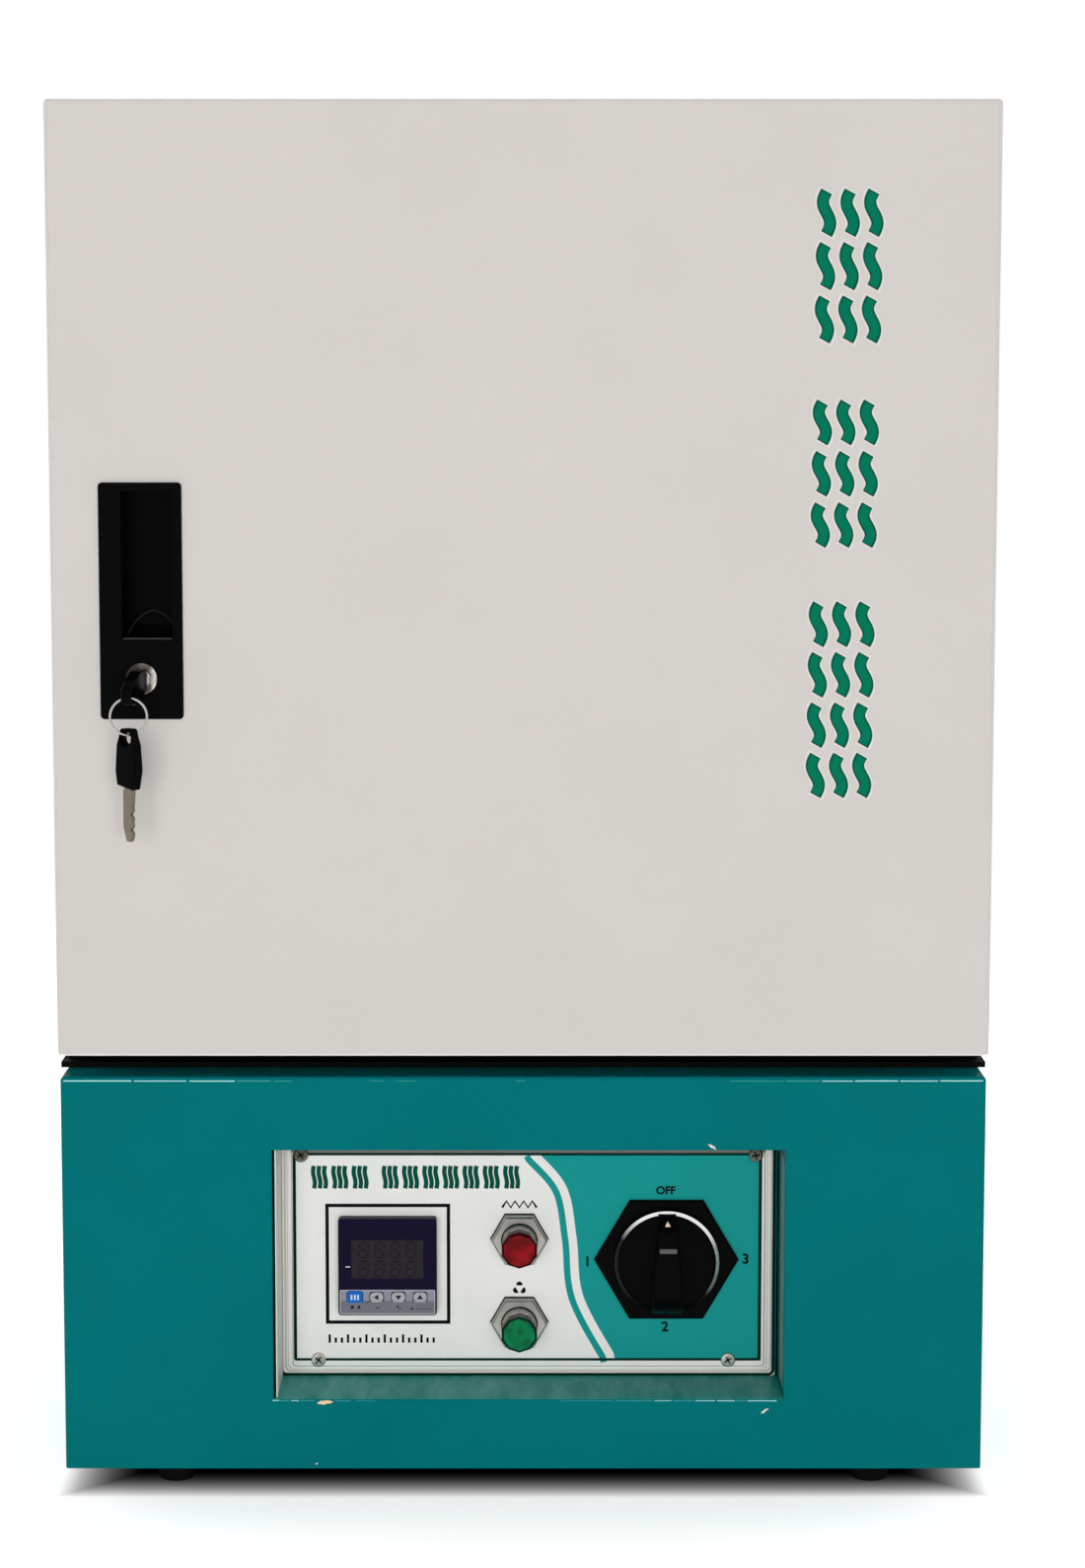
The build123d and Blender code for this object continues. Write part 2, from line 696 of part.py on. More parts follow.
# ================================================================ rotary fan switch
plate_front = label_y[0] - switch_plate_thickness
half_edge = switch_plate_edge / 2
half_tall = switch_plate_height / 2
half_wide = switch_plate_width / 2
with BuildPart() as switch_plate:
    with BuildSketch(facing(label_y[0])):
        with Locations((switch_x, switch_z)):
            Polygon(
                (-half_wide, 0), (-half_edge, -half_tall), (half_edge, -half_tall),
                (half_wide, 0), (half_edge, half_tall), (-half_edge, half_tall),
                align=None,
            )
            Circle(switch_shaft_radius + fit_gap, mode=Mode.SUBTRACT)
    extrude(amount=switch_plate_thickness)
    chamfer(switch_plate.faces().sort_by(Axis.Y)[0].outer_wire().edges(), switch_plate_chamfer)
switch_plate.part.label = "switch_plate"
export_step(switch_plate.part, "parts/switch_plate.step")

switch_back = plate_y[1] + switch_body_length
with BuildPart() as switch_body:
    half_switch = switch_body_size / 2
    switch_span_x = grow((switch_x, switch_x), half_switch)
    switch_span_z = grow((switch_z, switch_z), half_switch)
    block(switch_span_x, (plate_y[1], switch_back), switch_span_z)
    chamfer(switch_body.edges().filter_by(Axis.Y), switch_body_corner)
    terminal_x = grow((switch_x, switch_x), switch_tab_width / 2)
    layer_pitch = switch_body_length / switch_layers
    for layer in range(switch_layers):
        tab_y = plate_y[1] + (layer + 0.5) * layer_pitch
        terminal_y = grow((tab_y, tab_y), switch_tab_thickness / 2)
        block(terminal_x, terminal_y, grow(switch_span_z, switch_tab_height))
    bore_y = (plate_y[1], plate_y[1] + switch_shaft_depth + running_gap)
    rod_y(switch_x, switch_z, switch_shaft_radius + shaft_clearance, bore_y, Mode.SUBTRACT)
switch_body.part.label = "switch_body"
export_step(switch_body.part, "parts/switch_body.step")

knob_back = plate_front - running_gap
knob_front = knob_back - knob_reach
skirt_front = knob_back - knob_skirt_height
crown_front = skirt_front - knob_crown_height
with BuildPart() as switch_knob:
    rod_y(switch_x, switch_z, knob_radius, (skirt_front, knob_back))
    chamfer(switch_knob.edges().group_by(Axis.Y)[0], knob_skirt_chamfer)
    rod_y(switch_x, switch_z, knob_crown_radius, (crown_front, skirt_front))
    chamfer(switch_knob.edges().group_by(Axis.Y)[0], knob_crown_chamfer)
    with BuildSketch(facing(crown_front)):
        with Locations((switch_x, switch_z)):
            Polygon(
                (-knob_bar_bottom_width / 2, -knob_bar_length / 2),
                (knob_bar_bottom_width / 2, -knob_bar_length / 2),
                (knob_bar_top_width / 2, knob_bar_length / 2),
                (-knob_bar_top_width / 2, knob_bar_length / 2),
                align=None,
            )
            Circle(knob_radius - knob_skirt_chamfer, mode=Mode.INTERSECT)
    extrude(amount=crown_front - knob_front)
    with BuildSketch(facing(crown_front)):
        with Locations((switch_x, switch_z)):
            Circle(knob_crown_radius)
    extrude(amount=-knob_crown_height)
    fillet(switch_knob.faces().sort_by(Axis.Y)[0].edges(), knob_bar_round)
    rod_y(switch_x, switch_z, switch_shaft_radius, (knob_back, plate_y[1] + switch_shaft_depth))
switch_knob.part.label = "switch_knob"
export_step(switch_knob.part, "parts/switch_knob.step")

# ================================================================ mains inlet and wiring parts
inlet_back = rear_y + inlet_flange_thickness
with BuildPart() as mains_inlet:
    with BuildSketch(facing(rear_y)):
        with Locations((inlet_x, inlet_z)):
            RectangleRounded(inlet_flange_width, inlet_flange_height, inlet_flange_height / 4)
    extrude(amount=-inlet_flange_thickness)
    with BuildSketch(facing(rear_y)):
        with Locations((inlet_x, inlet_z)):
            Rectangle(inlet_body_width, inlet_body_height)
    extrude(amount=inlet_length)
    with BuildSketch(facing(inlet_back)):
        with Locations((inlet_x, inlet_z)):
            Polygon(
                (-socket_width / 2, -socket_height / 2), (socket_width / 2, -socket_height / 2),
                (socket_width / 2, socket_height / 2 - socket_chamfer),
                (socket_width / 2 - socket_chamfer, socket_height / 2),
                (-socket_width / 2 + socket_chamfer, socket_height / 2),
                (-socket_width / 2, socket_height / 2 - socket_chamfer),
                align=None,
            )
    extrude(amount=socket_depth, mode=Mode.SUBTRACT)
    socket_floor = inlet_back - socket_depth
    for step in (-1, 0, 1):
        pin_x = inlet_x + step * pin_pitch
        pin_z = inlet_z + pin_stagger * (1 - 2 * abs(step)) - pin_stagger / 2
        pin_y = (socket_floor, inlet_back - pin_short)
        block(grow((pin_x, pin_x), pin_width / 2), pin_y, grow((pin_z, pin_z), pin_height / 2))
        tail_y = (rear_y - inlet_length - pin_tail, rear_y - inlet_length)
        block(grow((pin_x, pin_x), pin_width / 4), tail_y, grow((pin_z, pin_z), pin_height / 2))
mains_inlet.part.label = "mains_inlet"
export_step(mains_inlet.part, "parts/mains_inlet.step")

deck_z = base_z[0] + sheet
block_y = rear_y - block_from_rear
with BuildPart() as terminal_block:
    block_x = grow((wiring_shift, wiring_shift), block_length / 2)
    block(block_x, grow((block_y, block_y), block_width / 2), (deck_z, deck_z + block_height / 2))
    block(block_x, grow((block_y, block_y), block_width / 4), (deck_z, deck_z + block_height))
    with Locations((wiring_shift, block_y, deck_z + block_height / 2)):
        with GridLocations(block_length / block_poles, block_row_pitch, block_poles, 2):
            Cylinder(block_screw_radius, block_screw_height, align=on_top)
terminal_block.part.label = "terminal_block"
export_step(terminal_block.part, "parts/terminal_block.step")

relay_y = rear_y - relay_from_rear
with BuildPart() as heater_relay:
    relay_x = grow((-wiring_shift, -wiring_shift), relay_length / 2)
    block(relay_x, grow((relay_y, relay_y), relay_width / 2), (deck_z, deck_z + relay_height))
    fillet(heater_relay.edges().filter_by(Axis.Z), relay_corner)
    post_pitch_x = relay_length - 2 * relay_post_inset_x
    post_pitch_y = relay_width - 2 * relay_post_inset_y
    with Locations((-wiring_shift, relay_y, deck_z + relay_height)):
        with GridLocations(post_pitch_x, post_pitch_y, 2, 2):
            Cylinder(relay_post_radius, relay_post_height, align=on_top)
heater_relay.part.label = "heater_relay"
export_step(heater_relay.part, "parts/heater_relay.step")

# ================================================================ cabinet
cabinet_y = (cabinet_y0, rear_y)
with BuildPart() as plinth_strip:
    strip_x = grow(body_x, -plinth_inset)
    strip_y = grow(cabinet_y, -plinth_inset)
    strip_z = (base_z[1], cabinet_z[0])
    block(strip_x, strip_y, strip_z)
    block(grow(strip_x, -plinth_width), grow(strip_y, -plinth_width), strip_z, Mode.SUBTRACT)
plinth_strip.part.label = "plinth_strip"
export_step(plinth_strip.part, "parts/plinth_strip.step")

slot_top = lock_z + lock_body_radius + latch_slot_side_gap
slot_bottom = lock_z - cam_length - latch_slot_side_gap
slot_x = grow((lock_x, lock_x), latch_slot_width / 2)
with BuildPart() as cabinet_shell:
    block(body_x, cabinet_y, cabinet_z)
    fillet(cabinet_shell.edges().filter_by(Axis.Y), bend_radius)
    cabinet_room_y = (cabinet_y[0] + sheet, rear_y)
    block(grow(body_x, -sheet), cabinet_room_y, grow(cabinet_z, -sheet), Mode.SUBTRACT)
    block(chamber_x, (cabinet_y[0], cabinet_y[0] + sheet), chamber_z, Mode.SUBTRACT)
    block(slot_x, (cabinet_y[0], cabinet_y[0] + sheet), (slot_bottom, slot_top), Mode.SUBTRACT)
    rod_x(vent_y, vent_z, vent_tube_radius + fit_gap, grow(body_x, sheet), Mode.SUBTRACT)
cabinet_shell.part.label = "cabinet_shell"
export_step(cabinet_shell.part, "parts/cabinet_shell.step")

screw_row_ends = grow(cabinet_z, -panel_screw_inset)
screw_row_pitch = (screw_row_ends[1] - screw_row_ends[0]) / (panel_screw_rows - 1)
panel_screw_places = [
    (side * (half_body - panel_screw_inset), screw_row_ends[0] + row * screw_row_pitch)
    for side in (-1, 1)
    for row in range(panel_screw_rows)
]
half_cover = cover_size / 2
cover_screw_places = [
    (side * (half_cover + cover_flange / 2), chamber_mid_z + row * cover_screw_pitch / 2)
    for side in (-1, 1)
    for row in (-1, 1)
]
with BuildPart() as cabinet_rear_panel:
    block(inside_x, (rear_y - sheet, rear_y), grow(cabinet_z, -sheet - fit_gap))
    with BuildSketch(facing(rear_y - sheet)):
        with Locations((0, chamber_mid_z)):
            Circle(fan_shaft_hole)
        with Locations(*panel_screw_places, *cover_screw_places):
            Circle(screw_shank_radius + screw_clearance)
    extrude(amount=-sheet, mode=Mode.SUBTRACT)
cabinet_rear_panel.part.label = "cabinet_rear_panel"
export_step(cabinet_rear_panel.part, "parts/cabinet_rear_panel.step")

panel_screw_seats = [(x, z, rear_y, sheet) for x, z in rear_screw_places + panel_screw_places]
cover_screw_seats = [(x, z, rear_y + sheet, 2 * sheet) for x, z in cover_screw_places]
panel_screws = pan_screws(panel_screw_seats + cover_screw_seats, 1)
panel_screws.part.label = "panel_screws"
export_step(panel_screws.part, "parts/panel_screws.step")

# ================================================================ chamber
chamber_y = (front_y + chamber_front, front_y + chamber_rear)
heater_z = floor_z + heater_rise
heater_xs = [half_runs * heater_run_pitch / 2 for half_runs in (-3, -1, 1, 3)]
shell_x = grow(chamber_x, steel_sheet)
shell_y = (chamber_y[0], chamber_y[1] + steel_sheet)
shell_z = grow(chamber_z, steel_sheet)
with BuildPart() as inner_chamber:
    block(shell_x, shell_y, shell_z)
    flange_y = (chamber_y[0], chamber_y[0] + steel_sheet)
    block(grow(shell_x, chamber_flange), flange_y, grow(shell_z, chamber_flange))
    block(chamber_x, chamber_y, chamber_z, Mode.SUBTRACT)
    rod_x(vent_y, vent_z, vent_tube_radius + fit_gap, shell_x, Mode.SUBTRACT)
    rear_wall = (chamber_y[1], shell_y[1])
    rod_y(0, chamber_mid_z, fan_shaft_hole, rear_wall, Mode.SUBTRACT)
    rod_y(probe_x, probe_z, probe_radius + screw_clearance, rear_wall, Mode.SUBTRACT)
    for x in (heater_xs[0], heater_xs[-1]):
        rod_y(x, heater_z, heater_radius + heater_hole_clearance, rear_wall, Mode.SUBTRACT)
inner_chamber.part.label = "inner_chamber"
export_step(inner_chamber.part, "parts/inner_chamber.step")

pocket_x = (lock_x - cam_length - pocket_gap, slot_x[1])
pocket_y = (cabinet_y0 + sheet, cabinet_y0 + sheet + pocket_depth)
pocket_z = (slot_bottom, slot_top)
pocket_outer_x = grow(pocket_x, pocket_sheet)
pocket_outer_z = grow(pocket_z, pocket_sheet)
with BuildPart() as latch_pocket:
    block(pocket_outer_x, (pocket_y[0], pocket_y[1] + pocket_sheet), pocket_outer_z)
    block(pocket_x, pocket_y, pocket_z, Mode.SUBTRACT)
latch_pocket.part.label = "latch_pocket"
export_step(latch_pocket.part, "parts/latch_pocket.step")

wool_x = grow(body_x, -sheet - fit_gap)
wool_y = (cabinet_y0 + sheet + fit_gap, rear_y - sheet - fit_gap)
wool_z = grow(cabinet_z, -sheet - fit_gap)
with BuildPart() as chamber_insulation:
    block(wool_x, wool_y, wool_z)
    block(grow(shell_x, fit_gap), (wool_y[0], shell_y[1] + fit_gap), grow(shell_z, fit_gap), Mode.SUBTRACT)
    flange_room = chamber_flange + fit_gap
    flange_room_y = (wool_y[0], flange_y[1] + fit_gap)
    block(grow(shell_x, flange_room), flange_room_y, grow(shell_z, flange_room), Mode.SUBTRACT)
    pocket_room_y = (wool_y[0], pocket_y[1] + pocket_sheet + fit_gap)
    block(grow(pocket_outer_x, fit_gap), pocket_room_y, grow(pocket_outer_z, fit_gap), Mode.SUBTRACT)
    rod_x(vent_y, vent_z, vent_tube_radius + fit_gap, wool_x, Mode.SUBTRACT)
    rod_y(0, chamber_mid_z, fan_shaft_hole, (shell_y[1], wool_y[1]), Mode.SUBTRACT)
    probe_room_y = (shell_y[1], shell_y[1] + probe_tail + fit_gap)
    rod_y(probe_x, probe_z, probe_radius + fit_gap, probe_room_y, Mode.SUBTRACT)
    heater_room_y = (shell_y[1], shell_y[1] + heater_tail + fit_gap)
    for x in (heater_xs[0], heater_xs[-1]):
        rod_y(x, heater_z, heater_radius + fit_gap, heater_room_y, Mode.SUBTRACT)
chamber_insulation.part.label = "chamber_insulation"
export_step(chamber_insulation.part, "parts/chamber_insulation.step")

runner_y = (shelf_front_y + runner_setback, shelf_rear_y)
with BuildPart() as shelf_runners:
    for side in (-1, 1):
        wall_x = side * half_chamber
        strip_x = sorted((wall_x, wall_x - side * runner_thickness))
        ledge_x = sorted((wall_x, wall_x - side * runner_ledge))
        runner_z = (floor_z + grille_height + grille_thickness, ledge_heights[-1] + runner_upright)
        for start in (runner_y[0], runner_y[1] - runner_upright):
            block(strip_x, (start, start + runner_upright), runner_z)
        for height in ledge_heights:
            block(ledge_x, runner_y, (height - ledge_thickness, height))
shelf_runners.part.label = "shelf_runners"
export_step(shelf_runners.part, "parts/shelf_runners.step")

half_shelf = half_chamber - runner_thickness - shelf_side_gap - shelf_rod_radius
shelf_y = (shelf_front_y + shelf_rod_radius, shelf_rear_y - shelf_rod_radius)
cross_wire_drop = 2 * shelf_wire_radius - shelf_weld
for name, ledge in shelf_ledges.items():
    rod_height = ledge_heights[ledge] + shelf_rod_radius + running_gap / 3
    with BuildPart() as wire_shelf:
        with BuildLine() as half_loop:
            FilletPolyline(
                (0, shelf_y[0], rod_height), (half_shelf, shelf_y[0], rod_height),
                (half_shelf, shelf_y[1], rod_height), (0, shelf_y[1], rod_height),
                radius=shelf_corner,
            )
        with BuildSketch(Plane(origin=(0, shelf_y[0], rod_height), z_dir=(1, 0, 0))):
            Circle(shelf_rod_radius)
        sweep(path=half_loop.line)
        mirror(about=Plane.YZ)
        for wire in range(shelf_cross_wires):
            cross_y = shelf_y[0] + (wire + 1) / (shelf_cross_wires + 1) * (shelf_y[1] - shelf_y[0])
            rod_x(cross_y, rod_height - cross_wire_drop, shelf_wire_radius, (-half_shelf, half_shelf))
        wire_pitch = 2 * (half_shelf - shelf_corner) / (shelf_wire_count - 1)
        for wire in range(shelf_wire_count):
            wire_x = -half_shelf + shelf_corner + wire * wire_pitch
            rod_y(wire_x, rod_height, shelf_wire_radius, shelf_y)
    wire_shelf.part.label = name
    export_step(wire_shelf.part, f"parts/{name}.step")

grille_x = grow(chamber_x, -grille_side_gap)
grille_y = (chamber_y[0] + plug_height, guard_y[0] - fit_gap)
with BuildPart() as floor_grille:
    block(grille_x, grille_y, (floor_z, floor_z + grille_height + grille_thickness))
    room_y = grow(grille_y, -grille_thickness)
    block(grille_x, room_y, (floor_z, floor_z + grille_height), Mode.SUBTRACT)
    with BuildSketch(Plane.XY.offset(floor_z + grille_height)):
        with Locations((0, middle(grille_y))):
            with GridLocations(grille_hole_pitch, grille_hole_pitch, grille_rows, grille_rows):
                Circle(grille_hole_radius)
    extrude(amount=grille_thickness, mode=Mode.SUBTRACT)
    for x in (heater_xs[0], heater_xs[-1]):
        heater_slot_z = (floor_z, heater_z + heater_radius + heater_hole_clearance)
        heater_slot_x = grow((x, x), heater_radius + heater_hole_clearance)
        block(heater_slot_x, (room_y[1], grille_y[1]), heater_slot_z, Mode.SUBTRACT)
floor_grille.part.label = "floor_grille"
export_step(floor_grille.part, "parts/floor_grille.step")

heater_bend = heater_run_pitch / 2
heater_end_y = shell_y[1] + heater_tail
front_bend_y = chamber_y[0] + heater_front_inset + heater_bend
back_bend_y = grille_y[1] - heater_front_inset - heater_bend
with BuildPart() as heater_element:
    with BuildLine() as heater_path:
        run = Line((heater_xs[0], heater_end_y, heater_z), (heater_xs[0], front_bend_y, heater_z))
        bend = TangentArc(run @ 1, (heater_xs[1], front_bend_y, heater_z), tangent=run % 1)
        run = Line(bend @ 1, (heater_xs[1], back_bend_y, heater_z))
        bend = TangentArc(run @ 1, (heater_xs[2], back_bend_y, heater_z), tangent=run % 1)
        run = Line(bend @ 1, (heater_xs[2], front_bend_y, heater_z))
        bend = TangentArc(run @ 1, (heater_xs[3], front_bend_y, heater_z), tangent=run % 1)
        Line(bend @ 1, (heater_xs[3], heater_end_y, heater_z))
    with BuildSketch(Plane(origin=(heater_xs[0], heater_end_y, heater_z), z_dir=(0, -1, 0))):
        Circle(heater_radius)
    sweep(path=heater_path.line)
heater_element.part.label = "heater_element"
export_step(heater_element.part, "parts/heater_element.step")

# ================================================================ circulation fan
half_guard = guard_size / 2
with BuildPart() as fan_guard:
    block((-half_guard, half_guard), guard_y, grow((chamber_mid_z, chamber_mid_z), half_guard))
    fillet(fan_guard.edges().filter_by(Axis.Y), guard_corner)
    inner_guard = half_guard - guard_sheet
    guard_room_y = (guard_y[0] + guard_sheet, guard_y[1])
    guard_room_z = grow((chamber_mid_z, chamber_mid_z), inner_guard)
    block((-inner_guard, inner_guard), guard_room_y, guard_room_z, Mode.SUBTRACT)
    with BuildSketch(facing(guard_y[0])):
        with Locations((0, chamber_mid_z)):
            with GridLocations(0, guard_slot_pitch, 1, guard_slot_count):
                SlotOverall(guard_slot_length, guard_slot_width)
    extrude(amount=-guard_sheet, mode=Mode.SUBTRACT)
    for shift in range(guard_slot_count):
        slot_mid = chamber_mid_z + (shift - (guard_slot_count - 1) / 2) * guard_slot_pitch
        side_slot_z = grow((slot_mid, slot_mid), guard_slot_width / 2)
        side_slot_y = grow(guard_y, -guard_slot_inset)
        block((-half_guard, half_guard), side_slot_y, side_slot_z, Mode.SUBTRACT)
fan_guard.part.label = "fan_guard"
export_step(fan_guard.part, "parts/fan_guard.step")

disc_y = (fan_y - fan_wall_gap - fan_disc, fan_y - fan_wall_gap)
blade_y = (disc_y[0] - fan_width, disc_y[0])
blade_span = fan_radius - fan_hub_radius - 2 * fan_blade_tip_gap
with BuildPart() as fan_impeller:
    rod_y(0, chamber_mid_z, fan_radius, disc_y)
    rod_y(0, chamber_mid_z, fan_hub_radius, (blade_y[0] + fan_hub_short, disc_y[1]))
    with BuildSketch(facing(disc_y[0])):
        with Locations((0, chamber_mid_z)):
            with PolarLocations((fan_radius + fan_hub_radius) / 2, fan_blades):
                Rectangle(blade_span, fan_blade_thickness, rotation=fan_blade_angle)
    extrude(amount=fan_width)
    rod_y(0, chamber_mid_z, fan_shaft_radius, (disc_y[1], rear_y + motor_shaft_depth))
fan_impeller.part.label = "fan_impeller"
export_step(fan_impeller.part, "parts/fan_impeller.step")

with BuildPart() as fan_motor:
    rod_y(0, chamber_mid_z, motor_radius, (rear_y, rear_y + motor_length))
    fillet(fan_motor.edges().group_by(Axis.Y)[-1], motor_round)
    motor_end = rear_y + motor_length
    rod_y(0, chamber_mid_z, motor_bearing_radius, (motor_end, motor_end + motor_bearing_height))
    for angle in (45, 135, 225, 315):
        lug_x = motor_lug_circle * cos(radians(angle))
        lug_z = chamber_mid_z + motor_lug_circle * sin(radians(angle))
        rod_y(lug_x, lug_z, motor_lug_radius, (rear_y, rear_y + motor_lug_thickness))
    bore_y = (rear_y, rear_y + motor_shaft_depth + running_gap)
    rod_y(0, chamber_mid_z, fan_shaft_radius + shaft_clearance, bore_y, Mode.SUBTRACT)
fan_motor.part.label = "fan_motor"
export_step(fan_motor.part, "parts/fan_motor.step")

cover_y = (rear_y, rear_y + cover_depth)
cover_z = grow((chamber_mid_z, chamber_mid_z), half_cover)
with BuildPart() as motor_cover:
    block((-half_cover, half_cover), cover_y, cover_z)
    fillet(motor_cover.edges().filter_by(Axis.Z).group_by(Axis.Y)[-1], bend_radius)
    flange_x = (-half_cover - cover_flange, half_cover + cover_flange)
    block(flange_x, (rear_y, rear_y + sheet), cover_z)
    cover_room_y = (rear_y, rear_y + cover_depth - sheet)
    block(grow((-half_cover, half_cover), -sheet), cover_room_y, grow(cover_z, -sheet), Mode.SUBTRACT)
    with BuildSketch(facing(cover_y[1])):
        with Locations((0, chamber_mid_z)):
            with GridLocations(0, cover_slot_pitch, 1, cover_slots):
                SlotOverall(cover_slot_length, vent_slot_width)
    extrude(amount=sheet, mode=Mode.SUBTRACT)
    with BuildSketch(facing(rear_y)):
        with Locations(*cover_screw_places):
            Circle(screw_shank_radius + screw_clearance)
    extrude(amount=-sheet, mode=Mode.SUBTRACT)
motor_cover.part.label = "motor_cover"
export_step(motor_cover.part, "parts/motor_cover.step")

with BuildPart() as sensor_probe:
    probe_y = (fan_y - probe_reach, shell_y[1] + probe_tail)
    rod_y(probe_x, probe_z, probe_radius, probe_y)
    fillet(sensor_probe.edges().group_by(Axis.Y)[0], probe_round)
    with BuildSketch(facing(fan_y)):
        with Locations((probe_x, probe_z)):
            RegularPolygon(probe_nut_flats / 2, 6, major_radius=False)
    extrude(amount=probe_nut_thickness)
sensor_probe.part.label = "sensor_probe"
export_step(sensor_probe.part, "parts/sensor_probe.step")

# ================================================================ side ventilators
flange_face = half_body + vent_flange_thickness
shutter_x0 = flange_face + running_gap
shutter_x1 = shutter_x0 + shutter_thickness
with BuildPart() as vent_bodies:
    for side in (-1, 1):
        tube_x = sorted((side * half_chamber, side * half_body))
        rod_x(vent_y, vent_z, vent_tube_radius, tube_x)
        rod_x(vent_y, vent_z, vent_tube_radius - vent_tube_wall, tube_x, Mode.SUBTRACT)
        flange_span = sorted((side * half_body, side * flange_face))
        rod_x(vent_y, vent_z, vent_flange_radius, flange_span)
        for turn in range(vent_holes):
            angle = radians(turn * 360 / vent_holes + 45)
            hole_y = vent_y + vent_hole_circle * cos(angle)
            hole_z = vent_z + vent_hole_circle * sin(angle)
            rod_x(hole_y, hole_z, vent_hole_radius, flange_span, Mode.SUBTRACT)
        pivot_span = sorted((side * flange_face, side * (shutter_x1 + running_gap)))
        rod_x(vent_y, vent_z, vent_pivot_radius, pivot_span)
        head_start = shutter_x1 + running_gap
        head_span = sorted((side * head_start, side * (head_start + vent_pivot_head)))
        rod_x(vent_y, vent_z, vent_pivot_head_radius, head_span)
vent_bodies.part.label = "vent_bodies"
export_step(vent_bodies.part, "parts/vent_bodies.step")

for name, side in (("left_vent_shutter", -1), ("right_vent_shutter", 1)):
    with BuildPart() as vent_shutter:
        disc_span = sorted((side * shutter_x0, side * shutter_x1))
        rod_x(vent_y, vent_z, shutter_radius, disc_span)
        lug_span = sorted((side * shutter_x1, side * (shutter_x1 + shutter_lug_height)))
        rod_x(vent_y, vent_z + shutter_lug_circle, shutter_lug_radius, lug_span)
        rod_x(vent_y, vent_z, vent_pivot_radius + shaft_clearance, disc_span, Mode.SUBTRACT)
        for turn in range(vent_holes):
            angle = radians(turn * 360 / vent_holes + 45)
            hole_y = vent_y + vent_hole_circle * cos(angle)
            hole_z = vent_z + vent_hole_circle * sin(angle)
            rod_x(hole_y, hole_z, vent_hole_radius, disc_span, Mode.SUBTRACT)
    vent_shutter.part.label = name
    export_step(vent_shutter.part, f"parts/{name}.step")

# ================================================================ seal and hinges
leaf_x0 = hinge_x - hinge_leaf
with BuildPart() as door_gasket:
    gasket_y = (door_back + running_gap, cabinet_y0)
    block(body_x, gasket_y, cabinet_z)
    block(grow(chamber_x, mouth_seal_gap), gasket_y, grow(chamber_z, mouth_seal_gap), Mode.SUBTRACT)
    block(slot_x, gasket_y, (slot_bottom, slot_top), Mode.SUBTRACT)
    for height in hinge_heights:
        notch_z = grow((height, height), hinge_height / 2 + hinge_pin_head + hinge_notch_gap)
        block((leaf_x0 - hinge_notch_gap, half_body), gasket_y, notch_z, Mode.SUBTRACT)
door_gasket.part.label = "door_gasket"
export_step(door_gasket.part, "parts/door_gasket.step")


def knuckle_spans(height, door_side):
    """z spans of one hinge's knuckles: the middle one is the door's, the outer two the cabinet's."""
    half = hinge_knuckle / 2
    if door_side:
        return [(height - half, height + half)]
    inner = half + hinge_knuckle_gap
    outer = inner + hinge_knuckle
    return [(height - outer, height - inner), (height + inner, height + outer)]


with BuildPart() as hinge_cabinet_leaves:
    for height in hinge_heights:
        side_leaf_x = (half_body, half_body + hinge_leaf_thickness)
        side_leaf_y = (cabinet_y0 + running_gap, cabinet_y0 + hinge_leaf)
        block(side_leaf_x, side_leaf_y, grow((height, height), hinge_height / 2))
        for span in knuckle_spans(height, False):
            rod_z(hinge_x, hinge_y, hinge_barrel_radius, span)
            block(side_leaf_x, (hinge_y, cabinet_y0 + hinge_leaf), span)
        for span in knuckle_spans(height, False):
            rod_z(hinge_x, hinge_y, hinge_pin_radius + shaft_clearance, span, Mode.SUBTRACT)
hinge_cabinet_leaves.part.label = "hinge_cabinet_leaves"
export_step(hinge_cabinet_leaves.part, "parts/hinge_cabinet_leaves.step")

with BuildPart() as hinge_door_leaves:
    for height in hinge_heights:
        for span in knuckle_spans(height, True):
            rod_z(hinge_x, hinge_y, hinge_barrel_radius, span)
            block((leaf_x0, hinge_x), (door_back, door_back + hinge_leaf_thickness), span)
            rod_z(hinge_x, hinge_y, hinge_pin_radius + shaft_clearance, span, Mode.SUBTRACT)
hinge_door_leaves.part.label = "hinge_door_leaves"
export_step(hinge_door_leaves.part, "parts/hinge_door_leaves.step")

with BuildPart() as hinge_pins:
    for height in hinge_heights:
        rod_z(hinge_x, hinge_y, hinge_pin_radius, grow((height, height), hinge_height / 2))
        for end in (-1, 1):
            pin_end = height + end * hinge_height / 2
            head_z = sorted((pin_end, pin_end + end * hinge_pin_head))
            rod_z(hinge_x, hinge_y, hinge_pin_head_radius, head_z)
hinge_pins.part.label = "hinge_pins"
export_step(hinge_pins.part, "parts/hinge_pins.step")

# ================================================================ door
door_x = (-half_door, half_door)
pan_back = door_back - steel_sheet
cup_outer_x = grow((cup_x, cup_x), cup_width / 2 + cup_wall)
cup_outer_z = grow((cup_z, cup_z), cup_height / 2 + cup_wall)
cup_outer_y = (front_y, front_y + cup_depth + cup_wall)
with BuildPart() as door_outer_pan:
    block(door_x, (front_y, pan_back), door_z)
    door_front = door_outer_pan.faces().sort_by(Axis.Y)[0]
    fillet(door_front.edges() + door_outer_pan.edges().filter_by(Axis.Y), bend_radius)
    block(grow(door_x, -sheet), (front_y + sheet, pan_back - sheet), grow(door_z, -sheet), Mode.SUBTRACT)
    block(grow(door_x, -door_lip), (pan_back - sheet, pan_back), grow(door_z, -door_lip), Mode.SUBTRACT)
    skin_y = (front_y, front_y + sheet)
    block(grow(cup_outer_x, fit_gap), skin_y, grow(cup_outer_z, fit_gap), Mode.SUBTRACT)
    rod_y(lock_x, lock_z, lock_body_radius + screw_clearance, skin_y, Mode.SUBTRACT)
door_outer_pan.part.label = "door_outer_pan"
